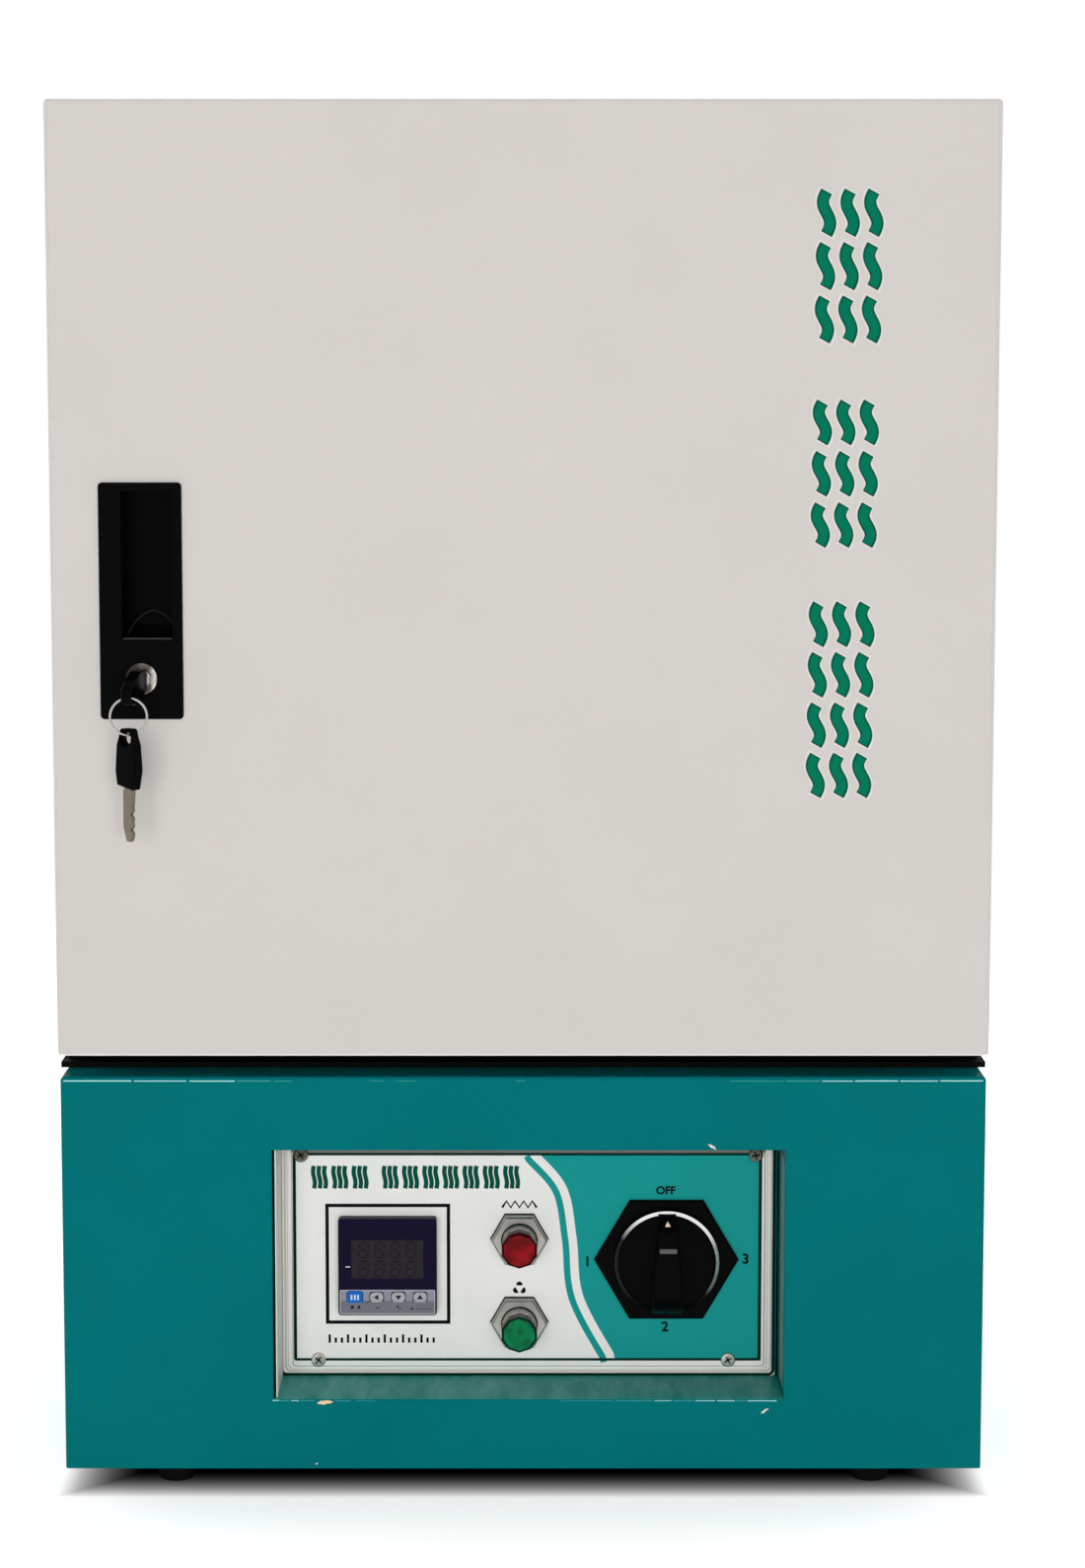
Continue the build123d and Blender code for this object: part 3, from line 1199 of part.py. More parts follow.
export_step(door_outer_pan.part, "parts/door_outer_pan.step")

plug_x = grow(chamber_x, -plug_gap)
plug_z = grow(chamber_z, -plug_gap)
with BuildPart() as door_inner_pan:
    block(grow(door_x, -inner_pan_inset), (pan_back, door_back), grow(door_z, -inner_pan_inset))
    block(plug_x, (door_back, door_back + plug_height), plug_z)
    fillet(door_inner_pan.faces().sort_by(Axis.Y)[-1].edges(), bend_radius)
    plug_room_y = (pan_back, door_back + plug_height - steel_sheet)
    block(grow(plug_x, -steel_sheet), plug_room_y, grow(plug_z, -steel_sheet), Mode.SUBTRACT)
    rod_y(lock_x, lock_z, lock_body_radius + screw_clearance, (pan_back, door_back), Mode.SUBTRACT)
door_inner_pan.part.label = "door_inner_pan"
export_step(door_inner_pan.part, "parts/door_inner_pan.step")

nut_room = lock_nut_radius + fit_gap
with BuildPart() as door_insulation:
    stuffing_y = (front_y + sheet + fit_gap, pan_back - sheet - fit_gap)
    block(grow(door_x, -sheet - fit_gap), stuffing_y, grow(door_z, -sheet - fit_gap))
    plug_stuffing_y = (stuffing_y[0], door_back + plug_height - steel_sheet - fit_gap)
    stuffing_inset = -steel_sheet - fit_gap
    block(grow(plug_x, stuffing_inset), plug_stuffing_y, grow(plug_z, stuffing_inset))
    cup_room_y = (stuffing_y[0], cup_outer_y[1] + fit_gap)
    block(grow(cup_outer_x, fit_gap), cup_room_y, grow(cup_outer_z, fit_gap), Mode.SUBTRACT)
    rod_y(lock_x, lock_z, nut_room, stuffing_y, Mode.SUBTRACT)
door_insulation.part.label = "door_insulation"
export_step(door_insulation.part, "parts/door_insulation.step")

# ================================================================ pull handle and lock
handle_y = front_y - handle_proud
with BuildPart() as handle_plate:
    with BuildSketch(facing(front_y)):
        with Locations((handle_x, handle_z)):
            RectangleRounded(handle_width, handle_height, handle_corner)
    extrude(amount=handle_proud)
    fillet(handle_plate.faces().sort_by(Axis.Y)[0].edges(), handle_proud / 3)
    block(cup_outer_x, cup_outer_y, cup_outer_z)
    scoop_bottom = cup_z - cup_height / 2
    cup_floor = front_y + cup_depth
    cup_top = cup_z + cup_height / 2
    scoop_start = (cup_floor - cup_scoop, scoop_bottom)
    scoop_end = (cup_floor, scoop_bottom + cup_scoop)
    with BuildSketch(Plane.YZ.offset(cup_x - cup_width / 2)):
        with BuildLine():
            Polyline(
                scoop_end, (cup_floor, cup_top), (handle_y, cup_top), (handle_y, scoop_bottom), scoop_start
            )
            RadiusArc(scoop_start, scoop_end, -cup_scoop)
        make_face()
    extrude(amount=cup_width, mode=Mode.SUBTRACT)
    rod_y(lock_x, lock_z, lock_body_radius + screw_clearance, (handle_y, front_y), Mode.SUBTRACT)
handle_plate.part.label = "handle_plate"
export_step(handle_plate.part, "parts/handle_plate.step")

barrel_y = (handle_y - lock_rim, door_back + lock_body_past_door)
with BuildPart() as lock_barrel:
    rod_y(lock_x, lock_z, lock_rim_radius, (barrel_y[0], handle_y))
    fillet(lock_barrel.edges().group_by(Axis.Y)[0], lock_rim / 2)
    rod_y(lock_x, lock_z, lock_body_radius, (handle_y, barrel_y[1]))
    rod_y(lock_x, lock_z, plug_radius + shaft_clearance, barrel_y, Mode.SUBTRACT)
lock_barrel.part.label = "lock_barrel"
export_step(lock_barrel.part, "parts/lock_barrel.step")

with BuildPart() as lock_nut:
    with BuildSketch(facing(front_y + sheet)):
        with Locations((lock_x, lock_z)):
            RegularPolygon(lock_nut_radius, 6)
            Circle(lock_body_radius + screw_clearance, mode=Mode.SUBTRACT)
    extrude(amount=-lock_nut_thickness)
lock_nut.part.label = "lock_nut"
export_step(lock_nut.part, "parts/lock_nut.step")

plug_y = (barrel_y[0], cam_y[0])
key_slot_depth = blade_length - bow_stand_off + blade_slot_gap
with BuildPart() as lock_plug:
    rod_y(lock_x, lock_z, plug_radius, plug_y)
    slot_half = blade_thickness / 2 + blade_slot_gap
    key_slot_y = (plug_y[0], plug_y[0] + key_slot_depth)
    key_slot_z = grow((lock_z, lock_z), blade_width / 2 + blade_slot_gap)
    block(grow((lock_x, lock_x), slot_half), key_slot_y, key_slot_z, Mode.SUBTRACT)
lock_plug.part.label = "lock_plug"
export_step(lock_plug.part, "parts/lock_plug.step")

with BuildPart() as lock_cam:
    with BuildSketch(facing(cam_y[0])):
        with Locations((lock_x, lock_z)):
            Circle(cam_boss_radius)
        with Locations((lock_x, lock_z - (cam_length - cam_width / 2) / 2)):
            Rectangle(cam_width, cam_length - cam_width / 2)
        with Locations((lock_x, lock_z - cam_length + cam_width / 2)):
            Circle(cam_width / 2)
    extrude(amount=-cam_thickness)
    rod_y(lock_x, lock_z, cam_screw_radius, (cam_y[1], cam_y[1] + cam_screw_head))
lock_cam.part.label = "lock_cam"
export_step(lock_cam.part, "parts/lock_cam.step")


# ================================================================ keys and key ring
def key_blade_part(root):
    """Blade of a key. root is the plane at the bow's blade end: local x runs along the bow, away
    from the blade, local y across the key's width, and local z through its thickness."""
    half = blade_width / 2
    tip = blade_tip_width / 2 - blade_tip_chamfer
    run = blade_length - blade_width
    tooth_pitch = run / blade_teeth
    with BuildPart() as blade:
        with BuildSketch(root):
            with BuildLine():
                outline = [(0, half), (-run, half), (-blade_length, tip), (-blade_length, -tip)]
                for tooth in range(blade_teeth):
                    start = -blade_length + blade_first_tooth + tooth * tooth_pitch
                    depth = blade_tooth * (1 + tooth % 2)
                    outline.append((start, -half + depth))
                    outline.append((start + tooth_pitch / 2, -half + blade_tooth / 2))
                outline.append((0, -half))
                Polyline(*outline, close=True)
            make_face()
            with Locations((blade_tang / 2, 0)):
                Rectangle(blade_tang, blade_tang_width)
        extrude(amount=blade_thickness / 2, both=True)
    return blade


def key_bow_part(bow_plane, blade_plane):
    """Moulded bow of a key, with the blade's tang let into it."""
    rim = [
        (bow_shoulder, bow_waist_width / 2), (bow_full_at, bow_width / 2),
        (bow_waist_at, bow_waist_width / 2), (bow_taper_at, bow_end_width / 2),
        (bow_length, bow_tip_width / 2),
    ]
    with BuildPart() as bow:
        with BuildSketch(bow_plane) as bow_outline:
            with BuildLine():
                lower_rim = [(x, -y) for x, y in reversed(rim[1:])]
                Polyline((0, -bow_neck_width / 2), *rim, *lower_rim, close=True)
            make_face()
            fillet(bow_outline.vertices(), bow_corner)
        extrude(amount=bow_thickness / 2, both=True)
        flats = bow.faces().sort_by(SortBy.AREA)[-2:]
        fillet(flats.edges(), bow_round)
        for side in (-1, 1):
            with BuildSketch(bow_plane.offset(side * bow_web / 2)):
                with Locations((bow_hole_at, 0)):
                    Circle(bow_web_radius)
            extrude(amount=side * bow_thickness, mode=Mode.SUBTRACT)
        with BuildSketch(bow_plane):
            with Locations((bow_hole_at, 0)):
                Circle(bow_hole_radius)
        extrude(amount=bow_thickness, both=True, mode=Mode.SUBTRACT)
        with BuildSketch(blade_plane):
            with Locations((blade_tang / 2, 0)):
                Rectangle(blade_tang, blade_tang_width)
        extrude(amount=blade_thickness / 2, both=True, mode=Mode.SUBTRACT)
    return bow


yaw = radians(key_yaw)
droop = radians(key_droop)
key_root = Vector(lock_x, barrel_y[0] - bow_stand_off, lock_z)
bow_direction = Vector(-sin(yaw) * cos(droop), -cos(yaw) * cos(droop), -sin(droop))
bow_normal = Vector(cos(yaw), -sin(yaw), 0)
inserted_blade_plane = Plane(origin=key_root, x_dir=(0, -1, 0), z_dir=(1, 0, 0))
inserted_bow_plane = Plane(origin=key_root, x_dir=bow_direction, z_dir=bow_normal)
key_blade = key_blade_part(inserted_blade_plane)
key_blade.part.label = "key_blade"
export_step(key_blade.part, "parts/key_blade.step")
key_bow = key_bow_part(inserted_bow_plane, inserted_blade_plane)
key_bow.part.label = "key_bow"
export_step(key_bow.part, "parts/key_bow.step")

wire_drop = bow_hole_radius - ring_wire_radius - ring_gap
ring_top = key_root + bow_direction * bow_hole_at - Vector(0, 0, wire_drop)
ring_centre = ring_top - Vector(0, 0, ring_radius)
ring_bottom = ring_centre - Vector(0, 0, ring_radius)
ring_tangent = Vector(cos(radians(ring_turn)), sin(radians(ring_turn)), 0)
ring_plane = Plane(origin=ring_centre, x_dir=ring_tangent, z_dir=ring_tangent.cross(Vector(0, 0, 1)))
with BuildPart() as key_ring:
    with Locations(ring_plane.location):
        Torus(ring_radius, ring_wire_radius)
key_ring.part.label = "key_ring"
export_step(key_ring.part, "parts/key_ring.step")

spare_hole = ring_bottom - Vector(0, 0, wire_drop)
spare_root = spare_hole - Vector(0, 0, bow_hole_at)
spare_normal = Vector(-sin(radians(spare_turn)), -cos(radians(spare_turn)), 0)
spare_plane = Plane(origin=spare_root, x_dir=(0, 0, 1), z_dir=spare_normal)
spare_blade = key_blade_part(spare_plane)
spare_blade.part.label = "spare_blade"
export_step(spare_blade.part, "parts/spare_blade.step")
spare_bow = key_bow_part(spare_plane, spare_plane)
spare_bow.part.label = "spare_bow"
export_step(spare_bow.part, "parts/spare_bow.step")
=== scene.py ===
import json
from math import cos, hypot, pi, radians, sin, sqrt

import bmesh
import bpy
from mathutils import Matrix, Vector

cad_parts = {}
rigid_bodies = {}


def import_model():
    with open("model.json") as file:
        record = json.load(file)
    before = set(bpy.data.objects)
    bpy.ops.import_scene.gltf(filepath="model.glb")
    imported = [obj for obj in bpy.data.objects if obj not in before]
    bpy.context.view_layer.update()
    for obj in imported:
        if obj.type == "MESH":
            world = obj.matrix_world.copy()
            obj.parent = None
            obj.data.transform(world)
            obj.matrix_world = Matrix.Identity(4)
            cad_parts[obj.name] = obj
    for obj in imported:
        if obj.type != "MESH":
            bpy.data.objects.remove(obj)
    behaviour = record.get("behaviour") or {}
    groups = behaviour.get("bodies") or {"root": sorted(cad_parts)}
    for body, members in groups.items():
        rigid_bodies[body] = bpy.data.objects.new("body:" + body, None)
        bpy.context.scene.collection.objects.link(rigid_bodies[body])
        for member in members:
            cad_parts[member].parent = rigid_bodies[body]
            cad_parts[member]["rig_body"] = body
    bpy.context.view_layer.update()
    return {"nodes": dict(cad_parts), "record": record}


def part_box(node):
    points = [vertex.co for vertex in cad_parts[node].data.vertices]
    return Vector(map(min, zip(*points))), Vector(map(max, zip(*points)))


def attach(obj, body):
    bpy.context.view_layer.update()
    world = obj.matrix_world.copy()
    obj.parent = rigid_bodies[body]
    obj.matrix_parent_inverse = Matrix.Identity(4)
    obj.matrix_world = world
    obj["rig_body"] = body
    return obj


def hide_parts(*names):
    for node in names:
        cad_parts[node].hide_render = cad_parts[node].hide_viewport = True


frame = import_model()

# The looks of a bench-top hot air oven, dressed over its CAD frame. Metres throughout, and mm
# turns the small sizes of prints and trim into metres.
mm = 0.001

# ---------------- camera and picture
image_width = 1100
image_height = 1589
focal_pixels = 3490.0
optical_centre_x = 530.5        # the picture's own column under the lens axis
camera_distance = 1.6084        # from the door's front
camera_height = 0.5258
camera_pitch = radians(6.38)
sensor_height = 36.0

# ---------------- light
backdrop_level = 1.0
sky_light = 0.22
# name: place, aim, width, height, watts
lamps = {
    "front": ((-0.1, -3.4, 0.45), (0, 0, 0.3), 2.4, 1.4, 73.0),
    "overhead": ((0, -0.1, 2.8), (0, -0.1, 0), 1.6, 1.6, 17.0),
    "left": ((-2.8, 0.9, 0.9), (0, 0, 0.35), 1.6, 1.6, 34.0),
    "right": ((2.8, 0.9, 0.9), (0, 0, 0.35), 1.6, 1.6, 34.0),
    "back": ((0, 3.2, 1.0), (0, 0, 0.35), 2.2, 1.4, 44.0),
}
floor_size = 14.0
floor_lift = 0.52               # light that the open floor adds to its own, so that it stays white; it fades out in the painted shadow
floor_edge = (-0.045, -0.003)   # from the painted shadow's dark to open floor, measured outwards from the base's footprint
floor_falloff = 3.1
floor_spread = (0.008, 0.0)     # how much wider and deeper than the base the footprint reaches
floor_fade = (0.75, 1.5)        # where the floor passes into the backdrop


# ---------------- colours
def srgb(red, green, blue):
    """A colour as it looks on a screen, 0 to 255, in the linear values that shaders take."""
    def linear(part):
        part /= 255
        return part / 12.92 if part <= 0.04045 else ((part + 0.055) / 1.055) ** 2.4
    return (linear(red), linear(green), linear(blue), 1.0)


def shade(color, factor):
    """The same colour, lighter or darker."""
    return tuple(min(1.0, part * factor) for part in color[:3]) + (1.0,)


black = srgb(7, 7, 7)
door_grey = srgb(213, 208, 204)
base_teal = srgb(4, 114, 117)
label_white = srgb(241, 240, 236)
plate_beige = srgb(247, 245, 238)
dust_grey = srgb(150, 146, 140)
window_grey = srgb(46, 42, 48)
steatite = srgb(226, 221, 208)
# each lamp's rim colour is a darker copy of its lens colour, painted shade for the lens's sides
lamp_red, lamp_red_rim = srgb(150, 16, 26), srgb(74, 8, 12)
lamp_green, lamp_green_rim = srgb(0, 130, 76), srgb(2, 58, 38)

# red, green, blue and roughness; some inks are painted light: highlights on edges and on the door's foot, a
# shadow under the recess's lip, shade in the plate's right gap, and a highlight and a reflection in the
# handle's cup
ink_tones = {
    "teal": (26, 152, 148, 0.3), "green": (4, 80, 64, 0.3), "border": (4, 38, 30, 0.3),
    "dark": (8, 14, 14, 0.3), "faint": (150, 152, 146, 0.3), "door_halo": (224, 221, 216, 0.4),
    "door_edge": (4, 84, 64, 0.35), "door_green": (4, 118, 88, 0.35), "segment": (32, 29, 33, 0.3),
    "strip": (116, 118, 126, 0.4), "strip_top": (146, 146, 160, 0.4), "icon": (40, 40, 52, 0.3),
    "pale": (226, 226, 222, 0.3), "pale_strip": (196, 196, 206, 0.4), "badge": (96, 96, 96, 0.4),
    "cream": (240, 222, 186, 0.3), "primer": (246, 214, 172, 0.7), "worn": (178, 238, 240, 0.4),
    "half_worn": (70, 158, 160, 0.4), "door_edge_light": (240, 237, 233, 0.4),
    "plate_shade": (208, 203, 194, 0.4), "lip_grey": (120, 122, 116, 0.4),
    "wall_dark": (24, 92, 88, 0.5), "wall_worn": (120, 160, 148, 0.5), "scoop": (30, 30, 30, 0.4),
    "lip": (58, 58, 56, 0.4),
}
rim_light = (0.55, 0.83)        # share of right and of up in the direction that the rim's painted highlight comes from
rim_light_span = (-0.1, 0.42)
# painted light on bright metal: tones along a piece, as (share of the way, colour)
lock_reflection_bands = ((0.0, srgb(40, 38, 36)), (0.35, srgb(70, 66, 62)), (0.55, srgb(120, 112, 104)),
              (0.75, srgb(96, 86, 78)), (0.9, srgb(226, 222, 216)), (1.0, srgb(150, 144, 138)))
# the screws' bands darken upwards as painted shade under the recess's upper lip, darkest on the top screws
screw_shade_bands = ((0.0, srgb(214, 214, 206)), (0.07, srgb(186, 184, 174)), (0.5, srgb(110, 108, 100)),
               (0.93, srgb(118, 116, 106)), (1.0, srgb(70, 70, 62)))


# ---------------- materials
mix_colors, mixed_color = (6, 7), 2      # a Mix node's sockets for colours


def wire(tree, kind, inputs, **settings):
    """A new node, its inputs linked to other nodes' outputs or set to plain values."""
    node = tree.nodes.new(kind)
    for setting, value in settings.items():
        setattr(node, setting, value)
    for socket, value in inputs.items():
        if isinstance(value, bpy.types.NodeSocket):
            tree.links.new(value, node.inputs[socket])
        elif value is not None:
            node.inputs[socket].default_value = value
    return node.outputs[0]


class Finish:
    """A procedural material on the Principled shader, with short calls for its textures."""

    def __init__(self, name, color, roughness, shader_values):
        self.name = name
        self.material = bpy.data.materials.new(name)
        self.material.use_nodes = True
        self.tree = self.material.node_tree
        self.shader = self.tree.nodes["Principled BSDF"]
        self.place = self.tree.nodes.new("ShaderNodeTexCoord").outputs["Object"]
        self.relief = None
        for socket, value in {"Base Color": color, "Roughness": roughness, **shader_values}.items():
            self.shader.inputs[socket].default_value = value

    def node(self, kind, inputs, **settings):
        return wire(self.tree, kind, inputs, **settings)

    def drive(self, socket, output):
        self.tree.links.new(output, self.shader.inputs[socket])

    def axes(self):
        """The place on the surface, as outputs X, Y and Z."""
        return self.node("ShaderNodeSeparateXYZ", {0: self.place}).node.outputs

    def noise(self, size, detail=2, rough=0.5, stretch=(1, 1, 1)):
        """Noise with features about size millimetres across, drawn out along an axis by stretch."""
        scale = [1 / (size * mm * part) for part in stretch]
        placed = self.node("ShaderNodeMapping", {"Vector": self.place, "Scale": scale})
        return self.node("ShaderNodeTexNoise", {"Vector": placed, "Scale": 1.0, "Detail": detail,
                                                "Roughness": rough})

    def remap(self, value, source, target=(0.0, 1.0)):
        """Value carried from one range to another, held at the ends."""
        sockets = ("Value", "From Min", "From Max", "To Min", "To Max")
        return self.node("ShaderNodeMapRange", dict(zip(sockets, (value, *source, *target))), clamp=True)

    def math(self, operation, first, second=0.0):
        return self.node("ShaderNodeMath", {0: first, 1: second}, operation=operation)

    def mix(self, level, first, second):
        """One colour blended into another."""
        inputs = {"Factor": level, mix_colors[0]: first, mix_colors[1]: second}
        return self.node("ShaderNodeMix", inputs, data_type="RGBA").node.outputs[mixed_color]

    def blend(self, level, first, second):
        """Paints the surface from the first colour to the second as the level rises."""
        self.drive("Base Color", self.mix(level, first, second))

    def roughness_from(self, output, low, high):
        self.drive("Roughness", self.remap(output, (0.3, 0.7), (low, high)))

    def bump(self, height, distance):
        """Adds a relief of that many millimetres on top of what is there already."""
        self.relief = self.node("ShaderNodeBump", {"Height": height, "Distance": distance * mm,
                                                   "Strength": 1.0, "Normal": self.relief})
        self.drive("Normal", self.relief)


# name: texture of the colour and the factors of its two tones, texture of the roughness and how far it
# goes down and up, texture of the relief and its height, and shader values. A texture is a noise's
# size, detail, roughness and stretch, with lengths in millimetres
families = {
    "gloss": ((0.8, 4, 0.7), (1.0, 1.0), (14,), (0.0, 0.08), (14,), 0.004, {"Specular IOR Level": 0.02}),
    "matt": ((9,), (0.9, 1.12), (0.35,), (0.06, 0.06), (0.35,), 0.02, {"Specular IOR Level": 0.05}),
    "ink": ((18, 3), (0.96, 1.04), (0.5,), (0.04, 0.06), (0.5,), 0.003, {"Specular IOR Level": 0.03}),
    "lens": ((6, 1), (1.0, 1.0), (6, 1), (0.04, 0.06), (2,), 0.01, {"Specular IOR Level": 0.08}),
    "rubber": ((7, 4, 0.6), (1.0, 1.6), (7, 4, 0.6), (0.08, 0.08), (0.7, 3), 0.03,
               {"Specular IOR Level": 0.03}),
    "plated": ((5, 4, 0.65), (0.8, 1.1), (5, 4, 0.65), (0.0, 0.12), (0.6, 3), 0.004, {"Metallic": 1.0}),
    "zinc": ((12, 4, 0.6), (1.0, 1.0), (12, 4, 0.6), (0.06, 0.1), (0.5,), 0.004, {"Metallic": 1.0}),
    "sheath": ((24, 3), (1.0, 1.0), (24, 3), (0.1, 0.1), (0.5,), 0.02, {"Metallic": 0.85}),
    "wool": ((1.2, 4, 0.7, (6, 1, 1)), (1.0, 1.0), None, None, (1.2, 4, 0.7, (6, 1, 1)), 0.5, {}),
    "ceramic": ((0.9, 3), (1.0, 1.0), None, None, (0.4,), 0.02, {}),
}
for axis, stretch in (("x", (60, 1, 1)), ("y", (1, 60, 1)), ("z", (1, 1, 60))):
    grain = (0.35, 3, 0.5, stretch)
    families["brushed_" + axis] = ((45, 3), (0.86, 1.08), grain, (0.08, 0.12), grain, 0.006,
                                   {"Metallic": 1.0})
# the part of a texture that shows, and what it becomes, where that isn't all of it
windows = {"gloss": ((0.7, 0.85), (0.0, 0.02)), "lens": ((0.35, 0.65), (0.0, 1.0)),
           "ceramic": ((0.64, 0.72), (0.0, 0.5))}


def surface(name, family, roughness, color, *tones):
    """A finish of that family. Without tones of its own, its colour is varied by the factors."""
    cloud, factors, grain, spread, relief, height, shader_values = families[family]
    finish = Finish(name, color, roughness, shader_values)
    level = finish.noise(*cloud)
    if family in windows:
        level = finish.remap(level, *windows[family])
    finish.blend(level, *(tones or [shade(color, factor) for factor in factors]))
    if grain:
        finish.roughness_from(finish.noise(*grain), roughness - spread[0], roughness + spread[1])
    finish.bump(finish.noise(*relief), height)
    return finish


# the paint's textures as a noise's size in millimetres and detail, and what makes its colour
paint_cloud, paint_grain, paint_peel, paint_relief = (60, 3), (2.2,), (1.4, 1), 0.008
paint_shares = (0.7, 0.3)       # of the cloud and of the grain


def powder_paint(name, color, mottle=0.05, roughness=(0.30, 0.40), shine=0.12):
    """Stoved paint on sheet steel: faint cloudy mottling and an orange-peel surface."""
    finish = Finish(name, color, roughness[0], {"Specular IOR Level": shine})
    cloud, grain = finish.noise(*paint_cloud), finish.noise(*paint_grain)
    parts = [finish.math("MULTIPLY", part, share) for part, share in zip((cloud, grain), paint_shares)]
    both = finish.math("ADD", *parts)
    finish.blend(finish.remap(both, (0.35, 0.65)), shade(color, 1 - mottle), shade(color, 1 + mottle))
    finish.roughness_from(grain, *roughness)
    finish.bump(finish.noise(*paint_peel), paint_relief)
    return finish


def painted_band_metal(name, node, axis, bands, roughness=0.2, scuff=0.25):
    """Bright metal with painted light: its tone follows painted bands of light and shade along one axis of a
    node, in place of a room that it would mirror.
    """
    finish = Finish(name, bands[0][1], roughness, {"Metallic": 1.0})
    corners = [frame["nodes"][node].matrix_world.inverted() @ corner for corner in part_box(node)]
    ends = sorted(corner["XYZ".index(axis)] for corner in corners)
    share = finish.remap(finish.axes()[axis], tuple(ends))
    cloud = finish.noise(2.5, 3, 0.6)
    drift = finish.math("MULTIPLY", finish.math("SUBTRACT", cloud, 0.5), scuff)
    ramp = finish.node("ShaderNodeValToRGB", {"Fac": finish.math("ADD", share, drift)})
    points = ramp.node.color_ramp.elements
    points[0].position, points[0].color = bands[0]
    points[1].position, points[1].color = bands[-1]
    for position, color in bands[1:-1]:
        points.new(position).color = color
    finish.drive("Base Color", ramp)
    finish.roughness_from(cloud, roughness, roughness + 0.1)
    finish.bump(finish.noise(0.5, 3), 0.004)
    return finish


def recess_floor_sheen():
    """A painted reflection on teal paint, lighter than the paint and streaked from front to back."""
    finish = powder_paint("recess_floor_sheen", srgb(46, 160, 150), mottle=0.1, shine=0.05)
    streaks = finish.noise(9, 3, 0.6, (1, 6, 1))
    finish.blend(finish.remap(streaks, (0.35, 0.7)), srgb(18, 146, 138), srgb(88, 176, 168))
    return finish


def rim_painted_light():
    """Bright metal of the knob's rim, with a painted highlight at the top and right and painted shade lower
    left.
    """
    finish = Finish("selector_rim_painted_light", srgb(220, 220, 218), 0.2, {"Metallic": 1.0})
    low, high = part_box("switch_knob")
    axes = finish.axes()
    parts = []
    for number, share in zip((0, 2), rim_light):
        middle, radius = (low[number] + high[number]) / 2, (high.x - low.x) / 2
        offset = finish.math("SUBTRACT", axes[number], middle)
        parts.append(finish.math("MULTIPLY", offset, share / radius))
    tone = finish.remap(finish.math("ADD", *parts), rim_light_span)
    finish.blend(tone, srgb(34, 34, 33), srgb(236, 236, 234))
    grain = finish.noise(0.6)
    finish.roughness_from(grain, 0.16, 0.3)
    finish.bump(grain, 0.003)
    return finish


finishes = [
    recess_floor_sheen(), rim_painted_light(),
    powder_paint("base_paint", base_teal, roughness=(0.2, 0.28), shine=0.01),
    powder_paint("door_paint", door_grey, mottle=0.012),
    powder_paint("cabinet_paint", door_grey, mottle=0.015),
    powder_paint("plate_paint", plate_beige, mottle=0.04),
    powder_paint("motor_paint", srgb(52, 56, 58), mottle=0.1),
    surface("label_print", "ink", 0.3, label_white),
    surface("black_plastic", "gloss", 0.16, black, black, dust_grey),
    surface("window_plastic", "gloss", 0.2, window_grey, window_grey, dust_grey),
    surface("bezel_plastic", "matt", 0.38, srgb(19, 13, 40)),
    surface("key_plastic", "matt", 0.42, srgb(172, 173, 178)),
    surface("set_key_plastic", "matt", 0.42, srgb(24, 104, 200)),
    surface("lamp_red", "lens", 0.14, lamp_red, srgb(104, 6, 12), lamp_red),
    surface("lamp_green", "lens", 0.14, lamp_green, srgb(0, 92, 54), lamp_green),
    surface("lamp_red_rim", "lens", 0.14, lamp_red_rim, srgb(48, 6, 8), lamp_red_rim),
    surface("lamp_green_rim", "lens", 0.14, lamp_green_rim, srgb(2, 36, 26), lamp_green_rim),
    surface("chrome", "plated", 0.12, srgb(186, 185, 181)),
    surface("zinc_steel", "zinc", 0.32, srgb(196, 197, 194), srgb(176, 174, 166), srgb(208, 212, 214)),
    surface("stainless", "brushed_x", 0.3, srgb(190, 189, 184)),
    surface("lamp_sleeve", "brushed_y", 0.3, srgb(206, 203, 196)),
    surface("key_steel", "brushed_z", 0.26, srgb(128, 118, 106)),
    surface("black_rubber", "rubber", 0.75, srgb(14, 14, 14)),
    surface("seal_rubber", "rubber", 0.65, srgb(10, 10, 10)),
    surface("mineral_wool", "wool", 0.95, srgb(186, 168, 120), srgb(140, 120, 80), srgb(214, 200, 158)),
    surface("ceramic_white", "ceramic", 0.55, steatite, steatite, srgb(160, 150, 132)),
    surface("heater_sheath", "sheath", 0.5, srgb(96, 90, 80), srgb(70, 62, 58), srgb(136, 122, 98)),
]
finishes += [surface(f"ink_{name}", "ink", tone[3], srgb(*tone[:3])) for name, tone in ink_tones.items()]
looks = {finish.name: finish for finish in finishes}
nut_chrome = srgb(182, 180, 174)
# the few nodes whose place in the light sets them apart from their slot
single_finishes = {
    # the lock's chrome carries painted reflection bands
    "lock_barrel": painted_band_metal("lock_barrel_chrome", "lock_barrel", "X", lock_reflection_bands),
    "lock_plug": painted_band_metal("lock_plug_chrome", "lock_plug", "X", lock_reflection_bands),
    "lamp_nuts": surface("lamp_nut_chrome", "plated", 0.32, nut_chrome, shade(nut_chrome, 0.7),
                         shade(nut_chrome, 1.15)),
    # the label's screws get painted shade, darker towards the top
    "label_screws": painted_band_metal("label_screw_zinc", "label_screws", "Z", screw_shade_bands, 0.3, 0.03),
}


def dress_nodes():
    """Gives every CAD node the finish of its slot in the record, or its own."""
    for subpart in frame["record"]["subparts"]:
        name = subpart["node"]
        finish = single_finishes.get(name, looks[subpart["material_slot"]])
        for material_slot in frame["nodes"][name].material_slots:
            material_slot.material = finish.material


# ---------------- outlines, as (x, z) loops
def arc(centre, radius, start, end, steps=12):
    """Points on an arc, angles in degrees from +X towards +Z."""
    angles = (radians(start + (end - start) * step / steps) for step in range(steps + 1))
    return [(centre[0] + radius * cos(angle), centre[1] + radius * sin(angle)) for angle in angles]


